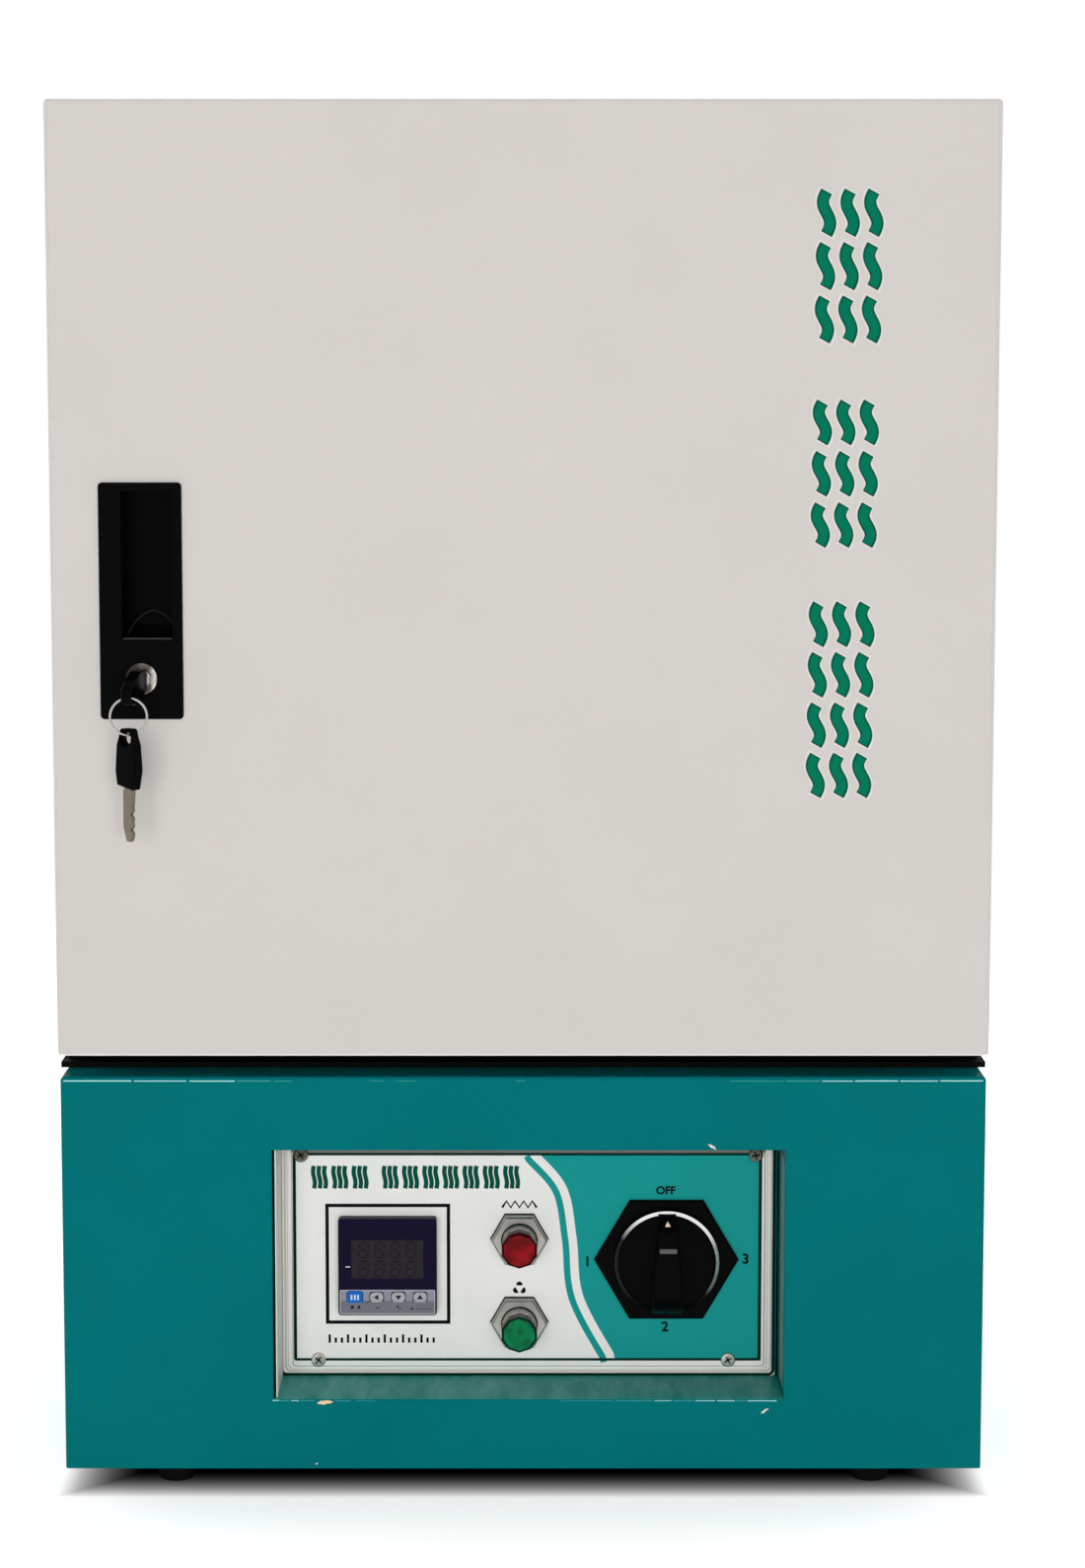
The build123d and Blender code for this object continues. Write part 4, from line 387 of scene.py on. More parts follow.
def disc(centre, radius, steps):
    return arc(centre, radius, 0, 360, steps)[:-1]


def rectangle(left, right, low, high, radius=0.0):
    if not radius:
        return [(left, low), (right, low), (right, high), (left, high)]
    corners = ((right - radius, low + radius, -90), (right - radius, high - radius, 0),
               (left + radius, high - radius, 90), (left + radius, low + radius, 180))
    return [point for x, z, start in corners for point in arc((x, z), radius, start, start + 90, 6)]


def frame_line(left, right, low, high, width, radius=0.0):
    """A line of that width round a rectangle, its outer edge on the rectangle."""
    inner = rectangle(left + width, right - width, low + width, high - width, max(radius - width, 0))
    return [rectangle(left, right, low, high, radius), inner]


def smooth_through(points, steps=14):
    """A smooth line through points in millimetres, each stretch bent by the points beside it."""
    guides = [points[0]] + list(points) + [points[-1]]
    line = []
    for before, start, end, after in zip(guides, guides[1:], guides[2:], guides[3:]):
        for step in range(steps):
            t = step / steps
            line.append(tuple(
                0.5 * (2 * b + (c - a) * t + (2 * a - 5 * b + 4 * c - d) * t ** 2
                       + (3 * b - a - 3 * c + d) * t ** 3) * mm
                for a, b, c, d in zip(before, start, end, after)))
    return line + [(points[-1][0] * mm, points[-1][1] * mm)]


def beside(line, offset):
    """The line moved sideways, to the right of its own direction where offset is above 0."""
    moved = []
    for place, (x, z) in enumerate(line):
        ahead, behind = line[min(place + 1, len(line) - 1)], line[max(place - 1, 0)]
        along = Vector((ahead[0] - behind[0], ahead[1] - behind[1])).normalized()
        moved.append((x + along.y * offset, z - along.x * offset))
    return moved


def stroke(line, width):
    """The outline of a line drawn with a flat-ended pen."""
    return beside(line, width / 2) + beside(line, -width / 2)[::-1]


def cut_above(loop, limit):
    """The loop with everything above that height pressed down to it."""
    return [(x, min(z, limit)) for x, z in loop]


# ---------------- solids, as (points, faces)
def band(first, second, count):
    """Faces that join the ring of points from first on to the ring from second on."""
    return [(first + corner, first + (corner + 1) % count, second + (corner + 1) % count, second + corner)
            for corner in range(count)]


def lathe(profile, centre, sides, phase=0.0):
    """Turns (radius, y) points about a line along Y. Radius 0 closes the end with a fan."""
    points, faces, rings = [], [], []
    for radius, y in profile:
        rings.append((len(points), sides if radius else 1))
        angles = [phase + 2 * pi * side / sides for side in range(rings[-1][1])]
        points += [(centre[0] + radius * cos(angle), y, centre[1] + radius * sin(angle))
                   for angle in angles]
    for (back, back_count), (front, front_count) in zip(rings, rings[1:]):
        if back_count == front_count:
            faces += band(back, front, sides)
        elif front_count == 1:
            faces += [(back + side, back + (side + 1) % sides, front) for side in range(sides)]
        else:
            faces += [(back, front + (side + 1) % sides, front + side) for side in range(sides)]
    return points, faces


def plate(loop, back, front, bevel):
    """A flat plate on a convex (x, z) outline, its front edge bevelled."""
    count = len(loop)
    middle_x, middle_z = sum(x for x, z in loop) / count, sum(z for x, z in loop) / count
    share = 1 - bevel / max(hypot(x - middle_x, z - middle_z) for x, z in loop)
    inner = [(middle_x + (x - middle_x) * share, middle_z + (z - middle_z) * share) for x, z in loop]
    points = [(x, y, z) for y in (back, front + bevel) for x, z in loop]
    points += [(x, front, z) for x, z in inner]
    faces = [tuple(range(count)), tuple(range(2 * count, 3 * count))]
    return points, faces + band(0, count, count) + band(count, 2 * count, count)


def solid_mesh(name, parts, crease=None):
    """One mesh from (points, faces) parts, its faces turned outwards and smooth up to the crease."""
    points, faces = [], []
    for part_points, part_faces in parts:
        first = len(points)
        points += part_points
        faces += [tuple(first + corner for corner in face) for face in part_faces]
    mesh = bpy.data.meshes.new(name)
    mesh.from_pydata(points, [], faces)
    shape = bmesh.new()
    shape.from_mesh(mesh)
    bmesh.ops.recalc_face_normals(shape, faces=shape.faces)
    if crease:
        for face in shape.faces:
            face.smooth = True
        for edge in shape.edges:
            edge.smooth = edge.calc_face_angle(pi) < radians(crease)
    shape.to_mesh(mesh)
    shape.free()
    return mesh


# ---------------- pieces
ink = 0.06 * mm                 # thickness of one printed layer
text_weight = 0.2 * mm          # how much a figure's strokes are fattened on each side
capital_share = 0.69            # height of a capital in the built-in font, of its size
figure_layer = 2                # the switch's figures lie on the teal field
ring_crease = 30                # degrees from which the edge of a turned ring stays sharp


def body_of(node):
    return frame["nodes"][node]["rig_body"]


def middle_of(node):
    """The middle of a node seen from the front, as (x, z)."""
    low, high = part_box(node)
    return (low.x + high.x) / 2, (low.z + high.z) / 2


def add_piece(name, mesh, look, body="oven"):
    """A mesh in one of the looks becomes a visible piece that rides on a CAD body."""
    mesh.materials.clear()
    mesh.materials.append(looks[look].material)
    piece = bpy.data.objects.new(name, mesh)
    bpy.context.scene.collection.objects.link(piece)
    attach(piece, body)
    return piece


def add_solid(name, parts, look, body="oven", crease=None):
    return add_piece(name, solid_mesh(name, parts, crease), look, body)


def add_block(name, low, high, look, body="oven"):
    """A plain block between two corners, as a piece."""
    loop = rectangle(low[0], high[0], low[2], high[2])
    points = [(x, y, z) for y in (high[1], low[1]) for x, z in loop]
    faces = [(0, 1, 2, 3), (4, 5, 6, 7)] + band(0, 4, 4)
    return add_solid(name, [(points, faces)], look, body)


def upright_mesh(curve, front_y, thickness):
    """A filled flat curve as a thin upright plate whose front face is at front_y."""
    curve.extrude = thickness / 2
    source = bpy.data.objects.new(curve.name, curve)
    mesh = bpy.data.meshes.new_from_object(source)
    bpy.data.objects.remove(source)
    mesh.transform(Matrix(((1, 0, 0, 0), (0, 0, -1, front_y + thickness / 2), (0, 1, 0, 0), (0, 0, 0, 1))))
    return mesh


def print_loops(name, loops, face_y, look, layer=1, body="oven", thickness=ink):
    """A printed layer on a front face. A loop inside another is a hole in it."""
    curve = bpy.data.curves.new(name, "CURVE")
    curve.dimensions = "2D"
    curve.fill_mode = "BOTH"
    for loop in loops:
        spline = curve.splines.new("POLY")
        spline.points.add(len(loop) - 1)
        for point, (x, z) in zip(spline.points, loop):
            point.co = (x, z, 0, 1)
        spline.use_cyclic_u = True
    mesh = upright_mesh(curve, face_y - (layer - 1) * ink - thickness, thickness)
    return add_piece(name, mesh, look, body)


# ---------------- the control label
label_low, label_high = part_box("control_label")
label_face = label_low.y
border_insets = (0.6 * mm, 1.6 * mm, 2.9 * mm, 2.7 * mm)    # left, right, below and above
border_side_width = 1.6 * mm
border_end_width = 1.3 * mm
border_corner = 1.2 * mm
label_rim_width = 0.35 * mm
label_corner = 1.5 * mm
controller_frame = (61.0 * mm, 60.0 * mm)
controller_frame_line = 1.7 * mm
swoosh_line = ((5.1, 160.2), (19.3, 143.1), (24.1, 118.2), (27.4, 89.1), (43.1, 58.9))
thin_stripe = (-5.3 * mm, -2.1 * mm)    # across the swoosh's line, to the right
field_edge = 2.0 * mm
# name and words of each mark round the switch, its place from the middle and its height
switch_marks = (("off", "OFF", (-0.3, 34.1), 3.7), ("1", "1", (-38.5, -1.3), 4.8),
                ("2", "2", (-0.5, -33.9), 4.8), ("3", "3", (38.8, 0.0), 4.8))


def print_on_label(name, loops, paint, layer=1):
    return print_loops(name, loops, label_face, f"ink_{paint}", layer)


def print_label():
    """The label's border, its two colour fields and the stripe between them."""
    left, right = label_low.x + border_insets[0], label_high.x - border_insets[1]
    low, high = label_low.z + border_insets[2], label_high.z - border_insets[3]
    line = smooth_through(swoosh_line)
    line = [(line[0][0], high)] + line[1:-1] + [(line[-1][0], low)]
    field = beside(line, -field_edge)
    field[0], field[-1] = (field[0][0], high), (field[-1][0], low)
    print_on_label("label_teal_field", [field + [(right, low), (right, high)]], "teal")
    stripe = beside(line, -thin_stripe[1]) + beside(line, -thin_stripe[0])[::-1]
    print_on_label("label_thin_stripe", [stripe], "teal")
    inner = rectangle(left + border_side_width, right - border_side_width, low + border_end_width,
                      high - border_end_width)
    print_on_label("label_border", [rectangle(left, right, low, high, border_corner), inner], "border", 2)
    rim = frame_line(label_low.x, label_high.x, label_low.z, label_high.z, label_rim_width, label_corner)
    print_on_label("label_rim", rim, "faint")


def print_controller_frame():
    x, z = middle_of("controller_case")
    half_width, half_height = controller_frame[0] / 2, controller_frame[1] / 2
    print_on_label("controller_frame_line", frame_line(x - half_width, x + half_width, z - half_height,
                   z + half_height, controller_frame_line), "dark")


def print_switch_scale():
    """OFF and plain figures round the switch."""
    x, z = middle_of("switch_plate")
    for name, words, (right, up), height in switch_marks:
        curve = bpy.data.curves.new(f"switch_mark_{name}", "FONT")
        curve.body = words
        curve.size = height * mm / capital_share
        curve.offset = text_weight
        mesh = upright_mesh(curve, 0.0, ink)
        spans = [(min(span), max(span)) for span in zip(*(vertex.co for vertex in mesh.vertices))]
        middle = Vector([(low + high) / 2 for low, high in spans])
        target = Vector((x + right * mm, label_face - (figure_layer - 0.5) * ink, z + up * mm))
        mesh.transform(Matrix.Translation(target - middle))
        add_piece(f"switch_mark_{name}", mesh, "ink_dark")


# ---------------- prints in place of words
wave_steps = 16
wave_strands = 3
wave_swing = 0.16               # of a strand to each side, of the pitch between strands
# height of the group's top, of a mark, how many marks, and their pitch, in millimetres
door_groups = ((605.9, 19.5, 3, 24.4), (509.2, 18.5, 3, 23.8), (415.5, 18.8, 4, 23.7))
door_glyph_x = (151.0 * mm, 148.0 * mm)  # at the top and at the bottom of the column
door_glyph_width = 31.0 * mm
door_glyph_pen = 5.7 * mm
# ink, and how far its edge stands past the plain stroke's, both sides together
door_glyph_layers = (("halo", 1.7 * mm), ("edge", 0.0), ("green", -1.6 * mm))
heading_groups = ((-99.4, 3), (-64.9, 3), (-35.4, 4))       # middle of the first mark, and how many
heading_pitch, heading_height = 9.9, 148.7 * mm
heading_mark = (8.4 * mm, 11.2 * mm, 2.15 * mm)             # width, height and pen
scale_left, scale_pitch, scale_bars = -95.5 * mm, 3.0 * mm, 18
scale_foot, scale_bar_width = 66.0 * mm, 1.15 * mm
scale_heights = (4.2 * mm, 2.6 * mm, 2.6 * mm)
coil_steps, coil_pitch, coil_swing, coil_pen = 8, 2.1 * mm, 1.6 * mm, 1.15 * mm
caption_heights = {"heater": 135.2 * mm, "fan": 93.3 * mm}
blade_turns = (90, 210, 330)
blade_reach, blade_radius, blade_spread = 1.9 * mm, 1.5 * mm, 110


def heat_wave(x, z, width, height, pen, grown=0.0):
    """Rising strands of warm air, filling that width and height, their pen grown for an edging."""
    pitch = (width - pen) / (wave_strands - 1 + 2 * wave_swing)
    loops = []
    for strand in range(wave_strands):
        middle = x + (strand - (wave_strands - 1) / 2) * pitch
        alongs = [step / wave_steps for step in range(wave_steps + 1)]
        line = [(middle + wave_swing * pitch * sin(2 * pi * along), z + height * (along - 0.5))
                for along in alongs]
        loops.append(stroke(line, pen + grown))
    return loops


def print_door_column():
    """A column of heat-wave marks down the door, in three groups."""
    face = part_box("door_outer_pan")[0].y
    base_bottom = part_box("base_shell")[0].z
    column_top, column_bottom = door_groups[0][0], door_groups[-1][0] - 4 * door_groups[-1][3]
    for group, (top, height, count, pitch) in enumerate(door_groups, 1):
        for layer, (paint, grown) in enumerate(door_glyph_layers, 1):
            loops = []
            for place in range(count):
                level = top - height / 2 - place * pitch
                along = (column_top - level) / (column_top - column_bottom)
                x = door_glyph_x[0] + (door_glyph_x[1] - door_glyph_x[0]) * along
                loops += heat_wave(x, base_bottom + level * mm, door_glyph_width, height * mm + grown,
                                   door_glyph_pen, grown)
            print_loops(f"door_marks_{group}_{paint}", loops, face, f"ink_door_{paint}",
                        layer, "door")


def print_heading():
    """A row of heat-wave marks where the panel has its heading."""
    loops = []
    for start, count in heading_groups:
        for place in range(count):
            loops += heat_wave((start + place * heading_pitch) * mm, heading_height, *heading_mark)
    print_on_label("label_heading", loops, "green")


def print_captions():
    """Plain symbols for the controller, the heater lamp and the fan lamp."""
    bars = []
    for step in range(scale_bars):
        x = scale_left + step * scale_pitch
        height = scale_heights[step % len(scale_heights)]
        bars.append(rectangle(x, x + scale_bar_width, scale_foot, scale_foot + height))
    print_on_label("caption_scale", bars, "dark")
    lamp = middle_of("red_lamp_lens")[0]
    coil = [(lamp + (step - coil_steps / 2) * coil_pitch,
             caption_heights["heater"] + (coil_swing if step % 2 else -coil_swing))
            for step in range(coil_steps + 1)]
    print_on_label("caption_heater", [stroke(coil, coil_pen)], "dark")
    middles = arc((lamp, caption_heights["fan"]), blade_reach, blade_turns[0], blade_turns[-1],
                  len(blade_turns) - 1)
    blades = [arc(middle, blade_radius, turn - blade_spread, turn + blade_spread)
              for middle, turn in zip(middles, blade_turns)]
    print_on_label("caption_fan", blades, "dark")


# ---------------- lamps
lens_sides = 10
lens_bevel = 1.2 * mm
lens_swell = 0.35 * mm          # of the facets' corners past the plain lens
lens_head = 7.5 * mm            # length of the coloured head
lens_face_share = 0.86
lens_dish_share = 0.7
lens_dish = 0.4 * mm
lens_rim_margin = 0.1 * mm      # a face that reaches this close to the full radius is the rim's
lens_stem_radius = 6.4 * mm
sleeve_radius, sleeve_sides = 7.9 * mm, 48
sleeve_cone = (0.4 * mm, 0.1 * mm)      # in front of the head's back, at its outer and inner edge
collar_margin, collar_length, collar_slope = 0.5 * mm, 1.2 * mm, 0.6 * mm
# a thin black outline under each lamp's nut, as painted shade round its edge
nut_shade_margin = 0.6 * mm
nut_shade_thickness = 0.5 * mm


def add_lamp(color):
    """A faceted lens with its sides in a darker copy of its colour as painted shade, the bright sleeve
    behind it, and a thin black outline under its nut as painted shade.
    """
    node = f"{color}_lamp_lens"
    low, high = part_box(node)
    centre = middle_of(node)
    radius = (high.x - low.x) / 2 + lens_swell
    head_back = low.y + lens_head
    nut_low, nut_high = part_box("lamp_nuts")
    profile = [(0, high.y), (lens_stem_radius, high.y), (lens_stem_radius, head_back),
               (radius, head_back), (radius, low.y + lens_bevel), (radius * lens_face_share, low.y),
               (radius * lens_dish_share, low.y + lens_dish / 2), (0, low.y + lens_dish)]
    lens = add_solid(f"{color}_lamp_facets", [lathe(profile, centre, lens_sides, pi / 2)],
                     f"lamp_{color}")
    # the lens's sides take the darker copy of its colour, as painted shade
    lens.data.materials.append(looks[f"lamp_{color}_rim"].material)
    for face in lens.data.polygons:
        corners = [lens.data.vertices[corner].co for corner in face.vertices]
        reach = max(hypot(co.x - centre[0], co.z - centre[1]) for co in corners)
        face.material_index = 1 if reach > radius - lens_rim_margin else 0
    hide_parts(node)
    collar = nut_low.y - collar_length
    sleeve = lathe([(lens_stem_radius, nut_low.y), (sleeve_radius + collar_margin, nut_low.y),
                    (sleeve_radius + collar_margin, collar), (sleeve_radius, collar - collar_slope),
                    (sleeve_radius, head_back - sleeve_cone[0]),
                    (lens_stem_radius, head_back - sleeve_cone[1])],
                   centre, sleeve_sides)
    add_solid(f"{color}_lamp_sleeve", [sleeve], "lamp_sleeve", crease=ring_crease)
    # the black outline round the nut is painted shade
    corners = disc(centre, (nut_high.x - nut_low.x) / 2 + nut_shade_margin, 6)
    print_loops(f"{color}_lamp_nut_shade", [corners, disc(centre, lens_stem_radius, 24)], label_face,
                "black_rubber", thickness=nut_shade_thickness)


# ---------------- selector knob
knob_gap = 0.3 * mm             # between the knob and its plate
skirt_height = 4.5 * mm
dome_height = 2.6 * mm
dome_steps = 10
knob_sides = 96
rim_width = 1.6 * mm
rim_tilt = 0.45                 # rise of the rim's bevel for its width
rim_skin = 0.12 * mm            # how far the rim stands proud of the black body
rim_foot, body_foot = 0.2 * mm, 0.3 * mm        # behind the crown, at the rim's inner edge
knob_crease = 35                # degrees from which an edge stays sharp
bar_sections = 18
bar_corner_steps = 5
bar_corner = 1.6 * mm
bar_inset = 1.2 * mm            # of the bar's ends and sides, inside the disc
bar_sink = 1.0 * mm
bar_end_height = 9.0 * mm
bar_top_width = 8.6 * mm
bar_bottom_width = 16.0 * mm
pointer_length = 4.2 * mm
pointer_width = 3.2 * mm
pointer_inset = 4.3 * mm        # of its round end from the bar's end
pointer_share = 0.42            # how far up the bar's end slope its face lies
pointer_depth, pointer_bevel = 2.4 * mm, 0.3 * mm
badge_width = 8.4 * mm
badge_height = 2.2 * mm
badge_rise = 8.7 * mm
badge_back, badge_front = 1.2 * mm, 0.05 * mm   # behind the bar's highest point
badge_corner, badge_bevel = 0.5 * mm, 0.2 * mm


def bar_section(z, width, base, top):
    """One cross-section of the knob's bar: upright sides and a rounded front."""
    half = width / 2
    turns = [pi / 2 * step / bar_corner_steps for step in range(1, bar_corner_steps + 1)]
    right = [(half, base), (half, top + bar_corner)]
    right += [(half - bar_corner + bar_corner * cos(turn), top + bar_corner - bar_corner * sin(turn))
              for turn in turns]
    return [(x, y, z) for x, y in right] + [(-x, y, z) for x, y in reversed(right)]


def knob_bar(x, z, radius, back, front):
    """The knob's grip: widest at its foot, highest in its middle."""
    reach = radius - bar_inset
    points, count = [], 0
    for step in range(bar_sections + 1):
        along = -1 + 2 * step / bar_sections
        width = bar_bottom_width + (bar_top_width - bar_bottom_width) * (along + 1) / 2
        limit = 2 * sqrt(max(radius ** 2 - (reach * along) ** 2, 0)) - bar_inset
        rise = bar_end_height + (back - front - bar_end_height) * (1 - abs(along) ** 3)
        section = bar_section(z + reach * along, min(width, limit), back - bar_sink, back - rise)
        points += [(px + x, py, pz) for px, py, pz in section]
        count = len(section)
    faces = [tuple(range(count)), tuple(range(bar_sections * count, (bar_sections + 1) * count))]
    for step in range(bar_sections):
        faces += band(step * count, (step + 1) * count, count)
    return points, faces


def add_knob():
    """The selector's knob: a disc in a bright rim, a tapered bar, its pointer and a bare badge."""
    low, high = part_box("switch_knob")
    x, z = middle_of("switch_knob")
    radius = (high.x - low.x) / 2
    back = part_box("switch_plate")[0].y - knob_gap
    skirt = back - skirt_height
    inner = radius - rim_width
    crown = skirt - rim_width * rim_tilt
    turns = [pi / 2 * step / dome_steps for step in range(dome_steps)]
    dome = [(inner * cos(turn), crown - dome_height * sin(turn)) for turn in turns]
    disc_profile = [(0, back), (radius, back), (radius, skirt), (inner, crown + body_foot)]
    disc_part = lathe(disc_profile + dome + [(0, crown - dome_height)], (x, z), knob_sides)
    body = body_of("switch_knob")
    knob = add_solid("selector_knob", [disc_part, knob_bar(x, z, radius, back, low.y)],
                     "black_plastic", body, knob_crease)
    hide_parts("switch_knob")
    # the rim's finish paints a highlight at its top and right and shade at its lower left
    rim = lathe([(radius, skirt), (radius, skirt - rim_skin), (inner, crown - rim_skin),
                 (inner, crown + rim_foot)], (x, z), knob_sides)
    add_solid("selector_rim", [rim], "selector_rim_painted_light", body, ring_crease)
    half = pointer_width / 2
    tip = z + radius - bar_inset - pointer_inset
    drop = arc((x, tip), half, 180, 360) + [(x, tip + pointer_length - half)]
    face = back - bar_end_height - (back - low.y - bar_end_height) * pointer_share
    add_solid("selector_pointer", [plate(drop, face + pointer_depth, face, pointer_bevel)],
              "ink_cream", body)
    badge = rectangle(x - badge_width / 2, x + badge_width / 2, z + badge_rise,
                      z + badge_rise + badge_height, badge_corner)
    add_solid("selector_badge", [plate(badge, low.y + badge_back, low.y + badge_front, badge_bevel)],
              "ink_badge", body)


# ---------------- temperature controller
strip_inset = 0.8 * mm
strip_height = 12.0 * mm
strip_light_height = 5.6 * mm
strip_edge_width = 0.35 * mm
strip_corner = 0.6 * mm
# from the case's left edge, width, from the strip's foot, height, in millimetres
strip_marks = ((6.0, 1.5, 2.6, 1.6), (9.4, 1.3, 2.6, 1.6), (18.2, 1.8, 2.9, 0.5), (28.4, 1.0, 3.2, 1.0),
               (29.6, 1.0, 2.4, 0.5), (35.2, 1.4, 2.2, 0.8), (37.4, 8.0, 2.5, 0.25))
key_gap, key_corner = 0.3 * mm, 1.6 * mm
digit_width = 4.2 * mm
digit_height = 7.6 * mm
digit_line = 0.75 * mm
digit_gap = 0.6 * digit_line
digit_pitch = 7.6 * mm
digit_places = (-1.5, -0.5, 0.5, 1.5)
digit_rows = (4.7 * mm, -4.7 * mm)
digit_slant = 0.08
dash_left, dash_right, dash_low, dash_high = -2.9 * mm, -0.7 * mm, -4.0 * mm, -3.5 * mm
key_marks = {                   # as loops from the key's middle, in millimetres
    "set_key": [rectangle(left, left + 0.8, -1.3, 1.3) for left in (-2.0, -0.4, 1.2)],
    "shift_key": [((-1.4, 0.0), (0.9, 1.4), (0.9, -1.4))],
    "down_key": [((0.0, -1.4), (1.5, 0.9), (-1.5, 0.9))],
    "up_key": [((0.0, 1.4), (-1.5, -0.9), (1.5, -0.9))],
}


def pointed_bar(start, end, level):
    """A six-sided bar of a figure, along the first axis."""
    half = digit_line / 2
    return [(start, level), (start + half, level + half), (end - half, level + half),
            (end, level), (end - half, level - half), (start + half, level - half)]


def digit_segments(x, z):
    """The seven bars of one unlit figure."""
    wide, tall = digit_width / 2, digit_height / 2
    loops = [pointed_bar(-wide + digit_gap, wide - digit_gap, level) for level in (-tall, 0, tall)]
    for column in (-wide, wide):
        for start, end in ((-tall, 0), (0, tall)):
            upright = pointed_bar(start + digit_gap, end - digit_gap, column)
            loops.append([(px, pz) for pz, px in upright])
    return [[(x + px + pz * digit_slant, z + pz) for px, pz in loop] for loop in loops]


def add_controller():
    """The controller's key strip, the unlit figures in its window, and the marks on its keys."""
    low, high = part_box("controller_case")
    body = body_of("controller_case")

    def on_bezel(name, loops, paint, layer=1):
        print_loops(f"controller_{name}", loops, low.y, f"ink_{paint}", layer, body)

    left, right, bottom = low.x + strip_inset, high.x - strip_inset, low.z + strip_inset
    top = bottom + strip_height
    holes = []
    for key in key_marks:
        key_low, key_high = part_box(key)
        holes.append(rectangle(key_low.x - key_gap, key_high.x + key_gap, key_low.z - key_gap,
                               key_high.z + key_gap, key_corner))
    on_bezel("key_strip", [rectangle(left, right, bottom, top, strip_corner)] + holes, "strip")
    on_bezel("strip_top", [rectangle(left, right, top - strip_light_height, top)] + holes, "strip_top", 2)
    on_bezel("strip_edge", frame_line(left, right, bottom, top, strip_edge_width, strip_corner),
             "pale_strip", 3)
    marks = [rectangle(low.x + along * mm, low.x + (along + width) * mm, bottom + rise * mm,
                       bottom + (rise + height) * mm) for along, width, rise, height in strip_marks]
    on_bezel("strip_marks", marks, "icon", 2)
    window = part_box("controller_window")[0]
    x, z = middle_of("controller_window")
    figures = [loop for rise in digit_rows for place in digit_places
               for loop in digit_segments(x + place * digit_pitch, z + rise)]
    print_loops("controller_figures", figures, window.y, "ink_segment", body=body)
    on_bezel("dash", [rectangle(window.x + dash_left, window.x + dash_right, z + dash_low,
                                z + dash_high)], "pale")
    for key, mark in key_marks.items():
        x, z = middle_of(key)
        loops = [[(x + px * mm, z + pz * mm) for px, pz in loop] for loop in mark]
        print_loops(f"{key}_mark", loops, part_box(key)[0].y, "ink_pale" if key == "set_key" else "ink_icon",
                    body=body_of(key))


# ---------------- plate and recess
base_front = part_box("base_shell")[0].y
# painted shade of the plate's gap and folds: from the plate's left, right and lower edges to a line's outer
# side, its width, ink and layer
plate_lines = (
    ("gap", (-0.4, 0.6, 0.0), 1.5, "border", 1),
    ("fold", (1.9, 2.1, 1.9), 1.0, "plate_shade", 1),
    ("ridge", (3.4, 4.3, 3.2), 0.35, "plate_shade", 2),
)
plate_corner = 3.0 * mm
hole_margin = 0.01 * mm         # keeps a line's hole off the edge that it would share
lip_shadow_height = 1.6 * mm
flange_gap = 1.2 * mm           # between the recess's left wall and the plate's folded side
flange_thickness = 0.5 * mm
flange_foot = 0.3 * mm
flange_front_inset = 2.0 * mm
flange_gap_span = (2.5 * mm, 3.5 * mm)          # behind the base's front
right_gap_width, right_gap_depth = 0.6 * mm, 0.12 * mm
recess_left, recess_right, recess_floor = -119.72 * mm, 124.72 * mm, 49.1 * mm
film_thickness, film_clearance, wall_clearance = 0.15 * mm, 0.01 * mm, 0.05 * mm
# the painted reflection's inset from the recess's sides, and its start behind the base's front
sheen_inset, sheen_front = 0.1 * mm, 0.4 * mm
wall_stripe = ((6.0 * mm, 25.0 * mm), (4.0 * mm, 116.0 * mm))   # behind the front, over the recess floor


def add_plate_folds():
    """Painted shade in the gap round the control plate and on its folds, a painted shadow under the recess's
    lip, and the plate's side that comes forward.
    """
    low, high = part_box("control_plate")
    for name, (left, right, foot), width, paint, layer in plate_lines:
        edges = low.x + left * mm, high.x - right * mm, low.z + foot * mm
        wide = width * mm
        outer = rectangle(*edges, high.z + wide, plate_corner)
        inner = rectangle(edges[0] + wide, edges[1] - wide, edges[2] + wide, high.z + wide / 2,
                          plate_corner - wide)
        print_loops(f"plate_{name}", [cut_above(outer, high.z), cut_above(inner, high.z - hole_margin)],
                    low.y, f"ink_{paint}", layer)
    # a grey band printed above the border's top, as painted shadow under the recess's upper lip
    shadow_foot = label_high.z - border_insets[3]
    print_on_label("label_lip_shadow", [rectangle(label_low.x, label_high.x, shadow_foot,
                                                shadow_foot + lip_shadow_height)], "lip_grey", 2)
    wall, foot = recess_left + flange_gap, low.z + flange_foot
    add_block("plate_left_side", (wall, base_front + flange_front_inset, foot),
              (wall + flange_thickness, low.y, high.z), "plate_paint")
    # a thin dark teal block at the plate's right edge, as painted shade in the gap to the recess's wall
    add_block("plate_right_gap_shade", (high.x - right_gap_width, low.y - right_gap_depth, low.z),
              (high.x, low.y, high.z), "ink_wall_dark")
    # a black block in the seal's rubber finish, as painted shade in the gap between the recess's left wall
    # and the plate's folded side
    near, far = flange_gap_span
    add_block("plate_left_gap_shade", (recess_left + wall_clearance, base_front + near, foot),
              (wall, base_front + far, high.z), "seal_rubber")


def add_recess_film():
    """A painted reflection on the recess's floor, and a lighter stripe on its right wall."""
    add_block("recess_sheen",
              (recess_left + sheen_inset, base_front + sheen_front, recess_floor + film_clearance),
              (recess_right - sheen_inset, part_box("control_plate")[0].y, recess_floor + film_thickness),
              "recess_floor_sheen")
    # a lighter stripe along the recess's right wall
    (near, far), (foot, top) = wall_stripe
    add_block("recess_wall_stripe",
              (recess_right - film_thickness, base_front + near, recess_floor + foot),
              (recess_right - film_clearance, base_front + far, recess_floor + top),
              "ink_wall_worn")


# ---------------- painted highlights on edges, and chipped paint
highlight_thickness, chip_thickness = 0.04 * mm, 0.05 * mm
highlight_roundness = 2.2            # a highlight line's height over its corners' radius
